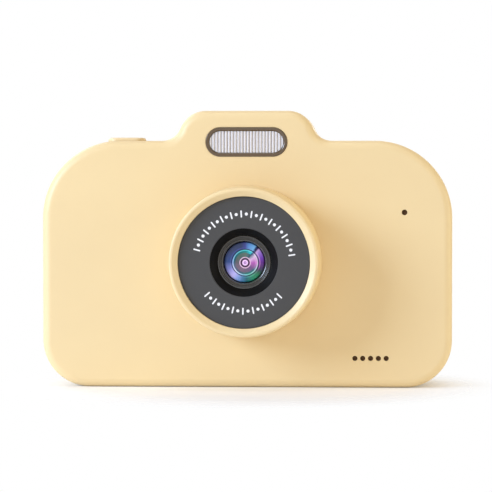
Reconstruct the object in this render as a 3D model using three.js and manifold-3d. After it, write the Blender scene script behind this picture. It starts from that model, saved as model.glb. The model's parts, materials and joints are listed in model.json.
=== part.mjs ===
// Children's digital camera: two moulded half shells with a domed flash hump, a fixed-focus lens in a
// proud barrel, a rear screen with keys, and the boards, battery and sound parts that they enclose.
// Millimetres. X runs across the camera, -Y is the lens side, Z is up, and the origin is under the middle.

import * as THREE from 'three';
import { mergeVertices } from 'three/addons/utils/BufferGeometryUtils.js';
import Module from 'manifold-3d';

const wasm = await Module();
wasm.setup();

// ---- Driving dimensions -------------------------------------------------------------------------

// Body outline, as seen from the front
const HALF_WIDTH = 50;
const SHOULDER_HEIGHT = 60.1;
const HUMP_HEIGHT = 67.4;
const LOWER_CORNER_R = 11.5;
const UPPER_CORNER_R = 18.8;
const HUMP_CORNER_X = 10.1;
const HUMP_CORNER_R = 6.5;
const HUMP_ROOT_R = 5;

// Depths
const BODY_DEPTH = 26;
const LENS_PROUD = 14;
const KEY_PROUD = 0.8;
const EDGE_R = 2.2;
const WALL = 1.8;
const REAR_WALL = 2.2;
const GAP = 0.3;
const OVERALL_DEPTH = LENS_PROUD + BODY_DEPTH + KEY_PROUD;
const RIM_Y = -OVERALL_DEPTH / 2;
const FRONT_Y = RIM_Y + LENS_PROUD;
const BACK_Y = FRONT_Y + BODY_DEPTH;
const INNER_FRONT_Y = FRONT_Y + WALL;
const INNER_BACK_Y = BACK_Y - REAR_WALL;
const PARTING_Y = 6.75;
const LIP_HEIGHT = 0.6;

// Lens group
const LENS_Z = 30.9;
const BARREL_BASE_R = 18.35;
const BARREL_NECK_R = 17.95;
const BARREL_BORE_R = 14.2;
const SPIGOT_R = 15.5;
const PLATE_R = 15.6;
const RIM_CREST_R = 17.35;
const PLATE_RECESS = 1.5;
const PLATE_THICKNESS = 1.2;
const CONE_R = 8.1;
const HOLDER_R = 6.6;
const HOLDER_BORE_R = 5.25;
const FRONT_GLASS_R = 4.95;
const REAR_GLASS_R = 3.3;
const PLATE_FRONT_Y = RIM_Y + PLATE_RECESS;
const PLATE_BACK_Y = PLATE_FRONT_Y + PLATE_THICKNESS;
const HOLDER_FRONT_Y = PLATE_FRONT_Y + 1.6;
const HOLDER_BACK_Y = -3;
const SENSOR_BOARD_Y = 1.5;
const MOUNT_SIDE = 15;

// Flash
const FLASH_Z = 59.8;
const FLASH_WIDTH = 19.8;
const FLASH_HEIGHT = 7.06;
const FLASH_BEZEL = 0.9;

// Sound openings
const MIC_X = 38.4;
const MIC_Z = 42.7;
const MIC_HOLE_R = 0.65;
const SPEAKER_X = 30.2;
const SPEAKER_Z = 7.2;
const SPEAKER_HOLE_R = 0.62;
const SPEAKER_PITCH = 1.9;
const SPEAKER_HOLES = 5;

// Shutter button on the shoulder
const SHUTTER_X = -29.8;
const SHUTTER_Y = 1.5;
const SHUTTER_WIDTH = 9.25;
const SHUTTER_LENGTH = 6;
const SHUTTER_PROUD = 0.88;
const SHUTTER_TRAVEL = 0.7;
const SHUTTER_FLANGE_TOP = 57.3;

// Rear screen
const SCREEN_X = 14;
const SCREEN_Z = 30.5;
const COVER_WIDTH = 48;
const COVER_HEIGHT = 37;
const COVER_THICKNESS = 1;
const LCD_WIDTH = 46;
const LCD_HEIGHT = 35;

// Rear keys
const KEY_TRAVEL = 0.6;
const KEY_FLANGE = 1;
const KEY_FLANGE_OVERLAP = 0.7;
const PAD_X = -30;
const PAD_Z = 26.5;
const OK_R = 4;
const ARROW_INNER_R = 5.6;
const ARROW_OUTER_R = 11.3;
const ARROW_GAP = 1.8;
const PILL_KEYS = { menu_button: [-36, 43.5], playback_button: [-24, 43.5], power_button: [-30, 9.5] };
const PILL_WIDTH = 7.5;
const PILL_HEIGHT = 4;

// Boards
const BOARD_Y = 12.5;
const BOARD_THICKNESS = 1.2;
const BOARD_INSET = 3.2;
const SWITCH_HEIGHT = 1.2;

// Battery
const BATTERY_WIDTH = 22;
const BATTERY_HEIGHT = 40;
const BATTERY_DEPTH = 6.5;
const BATTERY_RIGHT_X = -17.8;
const BATTERY_Z = 28.4;

// Case screws
const SCREW_PLACES = [[-43, 8.5], [43, 8.5], [-41, 51.5], [41, 51.5]];
const BOSS_R = 2.6;
const POST_R = 3.3;
const SCREW_R = 1;
const SCREW_HEAD_R = 1.95;
const SCREW_POCKET_DEPTH = 3;
const BOSS_TOP_Y = 9.2;

// Ports in the right side wall
const USB_Z = 34;
const USB_WIDTH = 9;
const USB_HEIGHT = 3.3;
const CARD_Z = 20;
const CARD_WIDTH = 11;
const CARD_LENGTH = 15;
const CARD_THICKNESS = 0.7;
const CARD_RECESS = 0.4;
const FLAP_HEIGHT = 13;
const FLAP_FRONT_Y = 8;
const FLAP_HINGE_Y = 14.4;
const FLAP_THICKNESS = 0.85;
const FLAP_SINK = 0.1;

// Strap pocket in the left side wall
const POCKET_Y = 12.2;
const POCKET_Z = 31;
const POCKET_WIDTH = 6;
const POCKET_HEIGHT = 8;
const POCKET_DEPTH = 4.2;
const PIN_R = 0.8;

// Facet counts
const OUTLINE_STEPS = 3;
const DETAIL_STEPS = 2;
const ROUND_STEPS = 36;
const SMALL_ROUND_STEPS = 16;
const WELD = 1e-4;

// ---- Materials ----------------------------------------------------------------------------------

function finish(color, roughness, metalness = 0) {
  return new THREE.MeshStandardMaterial({ color, roughness, metalness });
}

const MATERIALS = {
  shell: finish(0xf5deab, 0.55),
  key: finish(0xf8e6bd, 0.5),
  face: finish(0x525252, 0.45),
  black: finish(0x151515, 0.5),
  holder: finish(0x3a3a3c, 0.35, 0.4),
  glass: finish(0x3a5a8a, 0.05),
  clear: finish(0xeeecea, 0.2),
  smoke: finish(0x8c7a69, 0.25),
  mirror: finish(0xd8d8d8, 0.15, 0.9),
  led: finish(0xf4e9a0, 0.4),
  board: finish(0x1f5a3a, 0.5),
  chip: finish(0x1c1c1e, 0.55),
  steel: finish(0xb8babd, 0.3, 0.9),
  battery: finish(0xb9bcc0, 0.4, 0.3),
  foam: finish(0x2b2b2b, 0.95),
  screen: finish(0x0c0d10, 0.08),
  ribbon: finish(0xb8782c, 0.5),
  redWire: finish(0xb3201c, 0.5),
  blackWire: finish(0x141414, 0.5),
  rubber: finish(0xe9cf9a, 0.8),
};

// ---- Solid helpers ------------------------------------------------------------------------------

/** Turns a closed geometry into a solid that can be joined and cut. */
function solid(geometry) {
  geometry.deleteAttribute('normal');
  geometry.deleteAttribute('uv');
  const welded = mergeVertices(geometry, WELD);
  const corners = welded.index.array;
  const kept = [];
  for (let i = 0; i < corners.length; i += 3) {
    const [a, b, c] = corners.subarray(i, i + 3);
    if (a !== b && b !== c && c !== a) {
      kept.push(a, b, c);
    }
  }
  const mesh = new wasm.Mesh({
    numProp: 3,
    vertProperties: welded.attributes.position.array,
    triVerts: new Uint32Array(kept),
  });
  return new wasm.Manifold(mesh);
}

function join(...solids) {
  return solids.reduce((whole, next) => whole.add(next));
}

function cut(body, ...tools) {
  return tools.reduce((left, tool) => left.subtract(tool), body);
}

/** Shape pushed along +Z, rounded by edge at both ends. Larger shapes carry their own curveSteps. */
function extruded(shape, length, edge, edgeSteps) {
  const geometry = new THREE.ExtrudeGeometry(shape, {
    depth: length - 2 * edge,
    curveSegments: shape.userData?.curveSteps ?? DETAIL_STEPS,
    bevelEnabled: edge > 0,
    bevelThickness: edge,
    bevelSize: edge,
    bevelOffset: -edge,
    bevelSegments: edgeSteps,
  });
  return geometry.translate(0, 0, edge);
}

/** Front-view shape (x, z), from y = near to y = far. */
function plate(shape, near, far, edge = 0, edgeSteps = 1) {
  const geometry = extruded(shape, far - near, edge, edgeSteps);
  return solid(geometry.rotateX(Math.PI / 2).translate(0, far, 0));
}

/** Top-view shape (x, y), from z = low to z = high. */
function layer(shape, low, high, edge = 0, edgeSteps = 1) {
  return solid(extruded(shape, high - low, edge, edgeSteps).translate(0, 0, low));
}

/** Side-view shape (y, z), from x = left to x = right. */
function slice(shape, left, right, edge = 0, edgeSteps = 1) {
  const geometry = extruded(shape, right - left, edge, edgeSteps);
  return solid(geometry.rotateX(Math.PI / 2).rotateZ(Math.PI / 2).translate(left, 0, 0));
}

function block([left, right], [near, far], [low, high]) {
  const geometry = new THREE.BoxGeometry(right - left, far - near, high - low);
  return solid(geometry.translate((left + right) / 2, (near + far) / 2, (low + high) / 2));
}

/** Rod along Y, centred on (x, z). */
function rod(x, z, radius, near, far, steps = SMALL_ROUND_STEPS) {
  const geometry = new THREE.CylinderGeometry(radius, radius, far - near, steps);
  return solid(geometry.translate(x, (near + far) / 2, z));
}

/** Turned piece about the lens axis. The profile lists (radius, y) counter-clockwise. */
function turned(profile, steps = ROUND_STEPS) {
  const points = profile.map(([radius, y]) => new THREE.Vector2(radius, y));
  return solid(new THREE.LatheGeometry(points, steps).translate(0, 0, LENS_Z));
}

/** Turned ring: the profile closes on itself. */
function ring(profile, steps = ROUND_STEPS) {
  return turned([...profile, profile[0]], steps);
}

function arcProfile(radius, y, arcRadius, fromAngle, toAngle, steps) {
  const points = [];
  for (let i = 0; i <= steps; i += 1) {
    const angle = THREE.MathUtils.degToRad(fromAngle + (toAngle - fromAngle) * i / steps);
    points.push([radius + arcRadius * Math.cos(angle), y + arcRadius * Math.sin(angle)]);
  }
  return points;
}

// ---- Outlines -----------------------------------------------------------------------------------

/** Body outline moved inwards by inset. The hump's corners and roots are arcs that meet tangentially. */
function bodyOutline(inset = 0) {
  const cornerZ = HUMP_HEIGHT - HUMP_CORNER_R;
  const rootZ = SHOULDER_HEIGHT + HUMP_ROOT_R;
  const lean = Math.asin((rootZ - cornerZ) / (HUMP_CORNER_R + HUMP_ROOT_R));
  const rootX = HUMP_CORNER_X + (HUMP_CORNER_R + HUMP_ROOT_R) * Math.cos(lean);
  const lowerX = HALF_WIDTH - LOWER_CORNER_R;
  const upperX = HALF_WIDTH - UPPER_CORNER_R;
  const upperZ = SHOULDER_HEIGHT - UPPER_CORNER_R;
  const quarter = Math.PI / 2;
  const shape = new THREE.Shape();
  shape.userData = { curveSteps: OUTLINE_STEPS };
  shape.moveTo(-lowerX, inset);
  shape.absarc(lowerX, LOWER_CORNER_R, LOWER_CORNER_R - inset, -quarter, 0);
  shape.absarc(upperX, upperZ, UPPER_CORNER_R - inset, 0, quarter);
  shape.absarc(rootX, rootZ, HUMP_ROOT_R + inset, -quarter, lean - Math.PI, true);
  shape.absarc(HUMP_CORNER_X, cornerZ, HUMP_CORNER_R - inset, lean, quarter);
  shape.absarc(-HUMP_CORNER_X, cornerZ, HUMP_CORNER_R - inset, quarter, Math.PI - lean);
  shape.absarc(-rootX, rootZ, HUMP_ROOT_R + inset, -lean, -quarter, true);
  shape.absarc(-upperX, upperZ, UPPER_CORNER_R - inset, quarter, Math.PI);
  shape.absarc(-lowerX, LOWER_CORNER_R, LOWER_CORNER_R - inset, Math.PI, 3 * quarter);
  return shape;
}

function circle(x, y, radius) {
  return roundedRectangle(x, y, 2 * radius, 2 * radius, radius);
}

function roundedRectangle(x, y, width, height, radius) {
  const right = width / 2 - radius;
  const top = height / 2 - radius;
  const corners = [[right, -top], [right, top], [-right, top], [-right, -top]];
  const points = corners.flatMap(([cornerX, cornerY], i) => {
    const start = (i - 1) * Math.PI / 2;
    const arc = new THREE.EllipseCurve(x + cornerX, y + cornerY, radius, radius, start, start + Math.PI / 2);
    return arc.getPoints(2 * DETAIL_STEPS);
  });
  return new THREE.Shape(points.filter((point, i) => point.distanceTo(points.at(i - 1)) > WELD));
}

function stadium(x, y, width, height) {
  return roundedRectangle(x, y, width, height, height / 2);
}

/** One quarter of the arrow ring, grown by margin on every side, turned to face angle. */
function arrowShape(angle, margin = 0, outerMargin = margin) {
  const halfGap = ARROW_GAP / 2 - margin;
  const inner = ARROW_INNER_R - margin;
  const outer = ARROW_OUTER_R + outerMargin;
  const innerReach = Math.PI / 4 - Math.asin(halfGap / inner);
  const outerReach = Math.PI / 4 - Math.asin(halfGap / outer);
  const shape = new THREE.Shape();
  shape.userData = { curveSteps: 3 };
  shape.absarc(PAD_X, PAD_Z, outer, angle - outerReach, angle + outerReach);
  shape.absarc(PAD_X, PAD_Z, inner, angle + innerReach, angle - innerReach, true);
  return shape;
}

/** Direction of each arrow key. Right and left are those of someone who looks at the screen. */
const ARROW_KEYS = {
  left_button: 0,
  up_button: Math.PI / 2,
  right_button: Math.PI,
  down_button: 3 * Math.PI / 2,
};

// ---- Case ---------------------------------------------------------------------------------------

/** Closed hollow body, before it is parted. */
function hollowBody() {
  const outside = plate(bodyOutline(), FRONT_Y, BACK_Y, EDGE_R, 2);
  const inside = plate(bodyOutline(WALL), INNER_FRONT_Y, INNER_BACK_Y);
  return cut(outside, inside);
}

function everythingBetween(near, far) {
  return block([-HALF_WIDTH - 1, HALF_WIDTH + 1], [near, far], [-1, HUMP_HEIGHT + 1]);
}

/** Rim inside the front shell's edge that locates the rear shell. */
function locatingLip() {
  const edge = PARTING_Y - GAP / 2;
  const root = plate(bodyOutline(WALL - 0.1), edge - 0.7, edge - GAP);
  const lip = plate(bodyOutline(WALL + GAP), edge - 0.7, edge + LIP_HEIGHT);
  const hollow = plate(bodyOutline(WALL + GAP + 0.8), edge - 2, edge + 2);
  return cut(join(root, lip), hollow);
}

function screwBosses() {
  return SCREW_PLACES.map(([x, z]) => rod(x, z, BOSS_R, INNER_FRONT_Y - 0.2, BOSS_TOP_Y));
}

function shutterShelf() {
  return block([SHUTTER_X - 6, SHUTTER_X + 6], [INNER_FRONT_Y - 0.2, 4.4], [51.4, 52.4]);
}

function speakerHoles() {
  const holes = [];
  for (let i = 0; i < SPEAKER_HOLES; i += 1) {
    const x = SPEAKER_X + (i - (SPEAKER_HOLES - 1) / 2) * SPEAKER_PITCH;
    holes.push(rod(x, SPEAKER_Z, SPEAKER_HOLE_R, FRONT_Y - 1, INNER_FRONT_Y + 1, 12));
  }
  return holes;
}

function frontShell() {
  const half = hollowBody().intersect(everythingBetween(FRONT_Y - 1, PARTING_Y - GAP / 2));
  const whole = join(half, locatingLip(), shutterShelf(), ...screwBosses());
  const lensHole = rod(0, LENS_Z, SPIGOT_R + GAP, FRONT_Y - 1, INNER_FRONT_Y + 1, ROUND_STEPS);
  const flashOpening = stadium(0, FLASH_Z, FLASH_WIDTH + 2 * GAP, FLASH_HEIGHT + 2 * GAP);
  const flashHole = plate(flashOpening, FRONT_Y - 1, INNER_FRONT_Y + 1);
  const micHole = rod(MIC_X, MIC_Z, MIC_HOLE_R, FRONT_Y - 1, INNER_FRONT_Y + 1, 12);
  const width = SHUTTER_WIDTH + 2 * GAP;
  const length = SHUTTER_LENGTH + 2 * GAP;
  const slot = layer(roundedRectangle(SHUTTER_X, SHUTTER_Y, width, length, 2.8), 57, 62);
  const pilots = SCREW_PLACES.map(([x, z]) => rod(x, z, SCREW_R + GAP, 1, BOSS_TOP_Y + 1, 12));
  return cut(whole, lensHole, flashHole, micHole, slot, ...speakerHoles(), ...pilots);
}

function screwPosts() {
  return SCREW_PLACES.map(([x, z]) => rod(x, z, POST_R, BOSS_TOP_Y + GAP, INNER_BACK_Y + 0.2));
}

function screwPockets() {
  return SCREW_PLACES.flatMap(([x, z]) => [
    rod(x, z, SCREW_HEAD_R + 0.35, BACK_Y - SCREW_POCKET_DEPTH, BACK_Y + 1),
    rod(x, z, SCREW_R + GAP, BOSS_TOP_Y, BACK_Y - 1, 12),
  ]);
}

function keyHoles() {
  const through = [INNER_BACK_Y - 1, BACK_Y + 1];
  const okHole = rod(PAD_X, PAD_Z, OK_R + GAP, ...through, 28);
  const arrowHoles = Object.values(ARROW_KEYS).map((angle) => plate(arrowShape(angle, GAP), ...through));
  const pillHoles = Object.values(PILL_KEYS).map(([x, z]) => {
    return plate(stadium(x, z, PILL_WIDTH + 2 * GAP, PILL_HEIGHT + 2 * GAP), ...through);
  });
  return [okHole, ...arrowHoles, ...pillHoles];
}

function screenOpening() {
  const seatY = BACK_Y - COVER_THICKNESS - GAP;
  const seat = roundedRectangle(SCREEN_X, SCREEN_Z, COVER_WIDTH + 2 * GAP, COVER_HEIGHT + 2 * GAP, 3.3);
  const view = roundedRectangle(SCREEN_X, SCREEN_Z, COVER_WIDTH - 5, COVER_HEIGHT - 5, 1.5);
  return [plate(seat, seatY, BACK_Y + 1), plate(view, INNER_BACK_Y - 1, BACK_Y)];
}

/** Thickening behind the flap, so that its recess leaves a full wall. */
function flapPad() {
  const flapLow = USB_Z - FLAP_HEIGHT / 2 - 0.6;
  const flapHigh = USB_Z + FLAP_HEIGHT / 2 + 0.6;
  const inner = HALF_WIDTH - WALL - 1;
  return block([inner, HALF_WIDTH - WALL + 0.1], [FLAP_FRONT_Y - 0.5, FLAP_HINGE_Y + 0.7], [flapLow, flapHigh]);
}

function flapRecess() {
  const low = USB_Z - FLAP_HEIGHT / 2 - GAP;
  const high = USB_Z + FLAP_HEIGHT / 2 + GAP;
  const floor = HALF_WIDTH - FLAP_SINK - FLAP_THICKNESS - GAP;
  return block([floor, HALF_WIDTH + 1], [FLAP_FRONT_Y - GAP, FLAP_HINGE_Y + GAP], [low, high]);
}

function usbOpening() {
  const middle = BOARD_Y - GAP - USB_HEIGHT / 2;
  const halfHeight = USB_HEIGHT / 2 + GAP;
  const halfWidth = USB_WIDTH / 2 + GAP;
  const span = [HALF_WIDTH - 4, HALF_WIDTH + 1];
  return block(span, [middle - halfHeight, middle + halfHeight], [USB_Z - halfWidth, USB_Z + halfWidth]);
}

const CARD_Y = BOARD_Y - 1.3;

/** Slot for the memory card, with a shallow scoop for a fingernail. */
function cardOpening() {
  const halfSlot = CARD_THICKNESS / 2 + 0.35;
  const halfWidth = CARD_WIDTH / 2 + 0.35;
  const span = [HALF_WIDTH - 3, HALF_WIDTH + 1];
  const slot = block(span, [CARD_Y - halfSlot, CARD_Y + halfSlot], [CARD_Z - halfWidth, CARD_Z + halfWidth]);
  const scoop = block([HALF_WIDTH - 0.8, HALF_WIDTH + 1], [CARD_Y - 2, CARD_Y + 2], [CARD_Z - 3.5, CARD_Z + 3.5]);
  return join(slot, scoop);
}

function pocketWalls() {
  const halfWidth = POCKET_WIDTH / 2 + 1;
  const halfHeight = POCKET_HEIGHT / 2 + 1;
  const span = [-HALF_WIDTH + 1, -HALF_WIDTH + POCKET_DEPTH + 1];
  return block(span, [POCKET_Y - halfWidth, POCKET_Y + halfWidth], [POCKET_Z - halfHeight, POCKET_Z + halfHeight]);
}

function pocketHollow() {
  const halfWidth = POCKET_WIDTH / 2;
  const halfHeight = POCKET_HEIGHT / 2;
  const span = [-HALF_WIDTH - 1, -HALF_WIDTH + POCKET_DEPTH];
  return block(span, [POCKET_Y - halfWidth, POCKET_Y + halfWidth], [POCKET_Z - halfHeight, POCKET_Z + halfHeight]);
}

const PIN_X = -HALF_WIDTH + 1.6;

function rearShell() {
  const half = hollowBody().intersect(everythingBetween(PARTING_Y + GAP / 2, BACK_Y + 1));
  const whole = join(half, ...screwPosts(), flapPad(), pocketWalls());
  const pinHole = layer(circle(PIN_X, POCKET_Y, PIN_R + GAP), POCKET_Z - 5, POCKET_Z + 5);
  const ports = [flapRecess(), usbOpening(), cardOpening()];
  return cut(whole, ...screenOpening(), ...keyHoles(), ...screwPockets(), ...ports, pocketHollow(), pinHole);
}

function strapPin() {
  return layer(circle(PIN_X, POCKET_Y, PIN_R), POCKET_Z - 4.7, POCKET_Z + 4.7);
}

/** Case screw: a pan head with a cross recess, in the pocket, and its shank. */
function caseScrew([x, z]) {
  const seat = BACK_Y - SCREW_POCKET_DEPTH + GAP;
  const head = rod(x, z, SCREW_HEAD_R, seat, seat + 1.5);
  const shank = rod(x, z, SCREW_R, 2, seat + 0.1, 12);
  const across = block([x - 1.2, x + 1.2], [seat + 0.8, seat + 2], [z - 0.25, z + 0.25]);
  const upright = block([x - 0.25, x + 0.25], [seat + 0.8, seat + 2], [z - 1.2, z + 1.2]);
  return cut(join(head, shank), across, upright);
}

// ---- Lens ---------------------------------------------------------------------------------------

/** Proud barrel that stands on the front face, with a spigot through it. */
function lensBarrel() {
  const foot = FRONT_Y - GAP;
  return ring([
    [SPIGOT_R, INNER_FRONT_Y + 1.2],
    [BARREL_BORE_R, INNER_FRONT_Y + 1.2],
    [BARREL_BORE_R, PLATE_BACK_Y + GAP],
    [PLATE_R + GAP, PLATE_BACK_Y + GAP],
    [PLATE_R + GAP, PLATE_FRONT_Y - 0.3],
    [RIM_CREST_R - 0.2, RIM_Y],
    ...arcProfile(RIM_CREST_R, RIM_Y + 0.5, 0.5, -90, 0, 3),
    [BARREL_NECK_R, RIM_Y + 4],
    [BARREL_BASE_R, foot],
    [SPIGOT_R, foot],
  ]);
}

function lensFacePlate() {
  return ring([
    [CONE_R + GAP, PLATE_FRONT_Y],
    [PLATE_R, PLATE_FRONT_Y],
    [PLATE_R, PLATE_BACK_Y],
    [CONE_R + GAP, PLATE_BACK_Y],
  ]);
}

/** Black funnel between the face plate and the lens. */
function lensConeBezel() {
  const flangeY = PLATE_BACK_Y + GAP;
  return ring([
    [CONE_R - 0.2, PLATE_FRONT_Y],
    [CONE_R, PLATE_FRONT_Y],
    [CONE_R, flangeY],
    [CONE_R + 1.5, flangeY],
    [CONE_R + 1.5, flangeY + 1],
    [HOLDER_R + GAP, flangeY + 1],
    [HOLDER_R + GAP, flangeY + 0.7],
  ]);
}

function lensHolder() {
  return ring([
    [HOLDER_BORE_R, HOLDER_FRONT_Y],
    [HOLDER_R - 0.2, HOLDER_FRONT_Y],
    [HOLDER_R, HOLDER_FRONT_Y + 0.2],
    [HOLDER_R, HOLDER_BACK_Y],
    [REAR_GLASS_R + GAP, HOLDER_BACK_Y],
    [REAR_GLASS_R + GAP, HOLDER_FRONT_Y + 3.6],
    [HOLDER_BORE_R, HOLDER_FRONT_Y + 3.6],
  ]);
}

/** Lens element with a domed front, from its front vertex at y = vertex. */
function lensElement(radius, vertex, dome, thickness) {
  const sphere = (radius * radius + dome * dome) / (2 * dome);
  const reach = THREE.MathUtils.radToDeg(Math.asin(radius / sphere));
  const domed = arcProfile(0, vertex + sphere, sphere, -90, reach - 90, 5);
  const front = domed.map(([r, y]) => [Math.max(r, 0), y]);
  return turned([...front, [radius, vertex + thickness], [0, vertex + thickness]], 32);
}

function lensMount() {
  const half = MOUNT_SIDE / 2;
  const front = HOLDER_BACK_Y - 2.9;
  const body = block([-half, half], [front, SENSOR_BOARD_Y - GAP], [LENS_Z - half, LENS_Z + half]);
  const socket = rod(0, LENS_Z, HOLDER_R + GAP, front - 1, HOLDER_BACK_Y + GAP, 32);
  const chamber = rod(0, LENS_Z, 6.2, HOLDER_BACK_Y, SENSOR_BOARD_Y, 32);
  return cut(body, socket, chamber);
}

function imageSensor() {
  const top = SENSOR_BOARD_Y - GAP;
  return block([-3.5, 3.5], [top - 0.9, top], [LENS_Z - 3.5, LENS_Z + 3.5]);
}

function sensorBoard() {
  return block([-10, 10], [SENSOR_BOARD_Y, SENSOR_BOARD_Y + 1], [LENS_Z - 9.5, LENS_Z + 9.5]);
}

// ---- Flash --------------------------------------------------------------------------------------

function flashBezel() {
  const proud = 0.2;
  const collar = stadium(0, FLASH_Z, FLASH_WIDTH, FLASH_HEIGHT);
  const flange = stadium(0, FLASH_Z, FLASH_WIDTH + 2.6, FLASH_HEIGHT + 2.6);
  const window = stadium(0, FLASH_Z, FLASH_WIDTH - 2 * FLASH_BEZEL, FLASH_HEIGHT - 2 * FLASH_BEZEL);
  const flangeY = INNER_FRONT_Y + GAP;
  const body = join(plate(collar, FRONT_Y - proud, flangeY + 0.5, 0.2, 1), plate(flange, flangeY, flangeY + 0.8));
  return cut(body, plate(window, FRONT_Y - 1, flangeY + 2));
}

/** Clear window with upright ribs moulded into its back. */
function flashWindow() {
  const width = FLASH_WIDTH - 2 * FLASH_BEZEL - 2 * GAP;
  const height = FLASH_HEIGHT - 2 * FLASH_BEZEL - 2 * GAP;
  return plate(stadium(0, FLASH_Z, width, height), FRONT_Y + 0.1, FRONT_Y + 1.4);
}

function flashReflector() {
  const front = FRONT_Y + 1.7;
  const back = FRONT_Y + 4.8;
  const tray = plate(stadium(0, FLASH_Z, 17.2, 4.6), front, back);
  const dish = plate(stadium(0, FLASH_Z, 16, 3.4), front - 1, back - 0.6);
  return cut(tray, dish, rod(0, FLASH_Z, 1.6, front, back + 1, 16));
}

const FLASH_BOARD_Y = FRONT_Y + 5.4;

function flashLed() {
  const back = FLASH_BOARD_Y - GAP;
  return block([-0.9, 0.9], [back - 1.1, back], [FLASH_Z - 0.9, FLASH_Z + 0.9]);
}

function flashBoard() {
  return block([-10, 10], [FLASH_BOARD_Y, FLASH_BOARD_Y + 1], [FLASH_Z - 3.2, FLASH_Z + 3.2]);
}

// ---- Sound --------------------------------------------------------------------------------------

function microphone() {
  return rod(MIC_X, MIC_Z, 3, INNER_FRONT_Y + GAP, INNER_FRONT_Y + GAP + 2.2, 24);
}

const SPEAKER_SIZE = [15, 9.6];

function speakerGasket() {
  const near = INNER_FRONT_Y + GAP;
  const [width, height] = SPEAKER_SIZE;
  const outside = plate(roundedRectangle(SPEAKER_X, SPEAKER_Z, width, height, 2), near, near + 0.7);
  return cut(outside, plate(roundedRectangle(SPEAKER_X, SPEAKER_Z, width - 3, height - 3, 1), near - 1, near + 2));
}

function speaker() {
  const near = INNER_FRONT_Y + 1 + 2 * GAP;
  return plate(roundedRectangle(SPEAKER_X, SPEAKER_Z, ...SPEAKER_SIZE, 2), near, near + 3.5, 0.4, 1);
}

// ---- Screen and boards --------------------------------------------------------------------------

function screenCover() {
  const shape = roundedRectangle(SCREEN_X, SCREEN_Z, COVER_WIDTH, COVER_HEIGHT, 3);
  return plate(shape, BACK_Y - COVER_THICKNESS, BACK_Y);
}

const LCD_BACK_Y = INNER_BACK_Y - GAP;
const LCD_FRONT_Y = LCD_BACK_Y - 2.6;

function lcdModule() {
  const shape = roundedRectangle(SCREEN_X, SCREEN_Z, LCD_WIDTH, LCD_HEIGHT, 0.8);
  return plate(shape, LCD_FRONT_Y, LCD_BACK_Y);
}

function mainBoard() {
  const board = plate(bodyOutline(BOARD_INSET), BOARD_Y, BOARD_Y + BOARD_THICKNESS);
  const top = everythingBetween(BOARD_Y - 1, BOARD_Y + 3).translate([0, 0, 53]);
  const halfPocket = POCKET_HEIGHT / 2 + 1.4;
  const pocketNotch = block(
    [-HALF_WIDTH, -HALF_WIDTH + POCKET_DEPTH + 1.4],
    [BOARD_Y - 1, BOARD_Y + 3],
    [POCKET_Z - halfPocket, POCKET_Z + halfPocket],
  );
  const postHoles = SCREW_PLACES.map(([x, z]) => rod(x, z, POST_R + 0.4, BOARD_Y - 1, BOARD_Y + 3));
  return cut(board, top, pocketNotch, ...postHoles);
}

function chip(x, z, side, height) {
  const far = BOARD_Y - GAP;
  return block([x - side / 2, x + side / 2], [far - height, far], [z - side / 2, z + side / 2]);
}

/** Tact switch on the back of the main board. */
function keySwitch(x, z) {
  const near = BOARD_Y + BOARD_THICKNESS + GAP;
  const half = 1.7;
  const body = block([x - half, x + half], [near, near + SWITCH_HEIGHT - 0.4], [z - half, z + half]);
  return join(body, rod(x, z, 0.9, near, near + SWITCH_HEIGHT, 12));
}

const SHUTTER_SWITCH_TOP = SHUTTER_FLANGE_TOP - 1 - SHUTTER_TRAVEL - GAP;

function shutterSwitch() {
  const low = SHUTTER_SWITCH_TOP - SWITCH_HEIGHT;
  const body = block([SHUTTER_X - 2, SHUTTER_X + 2], [SHUTTER_Y - 2, SHUTTER_Y + 2], [low, low + SWITCH_HEIGHT - 0.4]);
  return join(body, layer(circle(SHUTTER_X, SHUTTER_Y, 1), low, SHUTTER_SWITCH_TOP));
}

function shutterBoard() {
  const high = SHUTTER_SWITCH_TOP - SWITCH_HEIGHT - GAP;
  return block([SHUTTER_X - 5, SHUTTER_X + 5], [SHUTTER_Y - 4, SHUTTER_Y + 3], [high - 1, high]);
}

function battery() {
  const near = INNER_FRONT_Y + 0.7;
  const shape = roundedRectangle(near + BATTERY_DEPTH / 2, BATTERY_Z, BATTERY_DEPTH, BATTERY_HEIGHT, 2);
  return slice(shape, BATTERY_RIGHT_X - BATTERY_WIDTH, BATTERY_RIGHT_X, 0.6, 1);
}

/** Foam strip that presses on the battery's back. */
function batteryPad() {
  const near = INNER_FRONT_Y + 0.7 + BATTERY_DEPTH + GAP;
  return block([BATTERY_RIGHT_X - 20, BATTERY_RIGHT_X - 2], [near, near + 0.8], [BATTERY_Z - 15, BATTERY_Z + 15]);
}

/** Wire from the battery's edge to the main board, offset upwards by rise. */
function batteryWire(rise) {
  const z = 20 + rise;
  const start = BATTERY_RIGHT_X + GAP;
  const route = new THREE.CatmullRomCurve3([
    new THREE.Vector3(start, -0.6, z),
    new THREE.Vector3(start + 2.2, -0.4, z),
    new THREE.Vector3(start + 3.6, 3, z),
    new THREE.Vector3(start + 4, 8, z),
    new THREE.Vector3(start + 4, BOARD_Y - GAP, z),
  ]);
  const section = new THREE.Shape().absarc(0, 0, 0.6, 0, 2 * Math.PI);
  const options = { steps: 12, curveSegments: 4, bevelEnabled: false, extrudePath: route };
  return solid(new THREE.ExtrudeGeometry(section, options));
}

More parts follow.
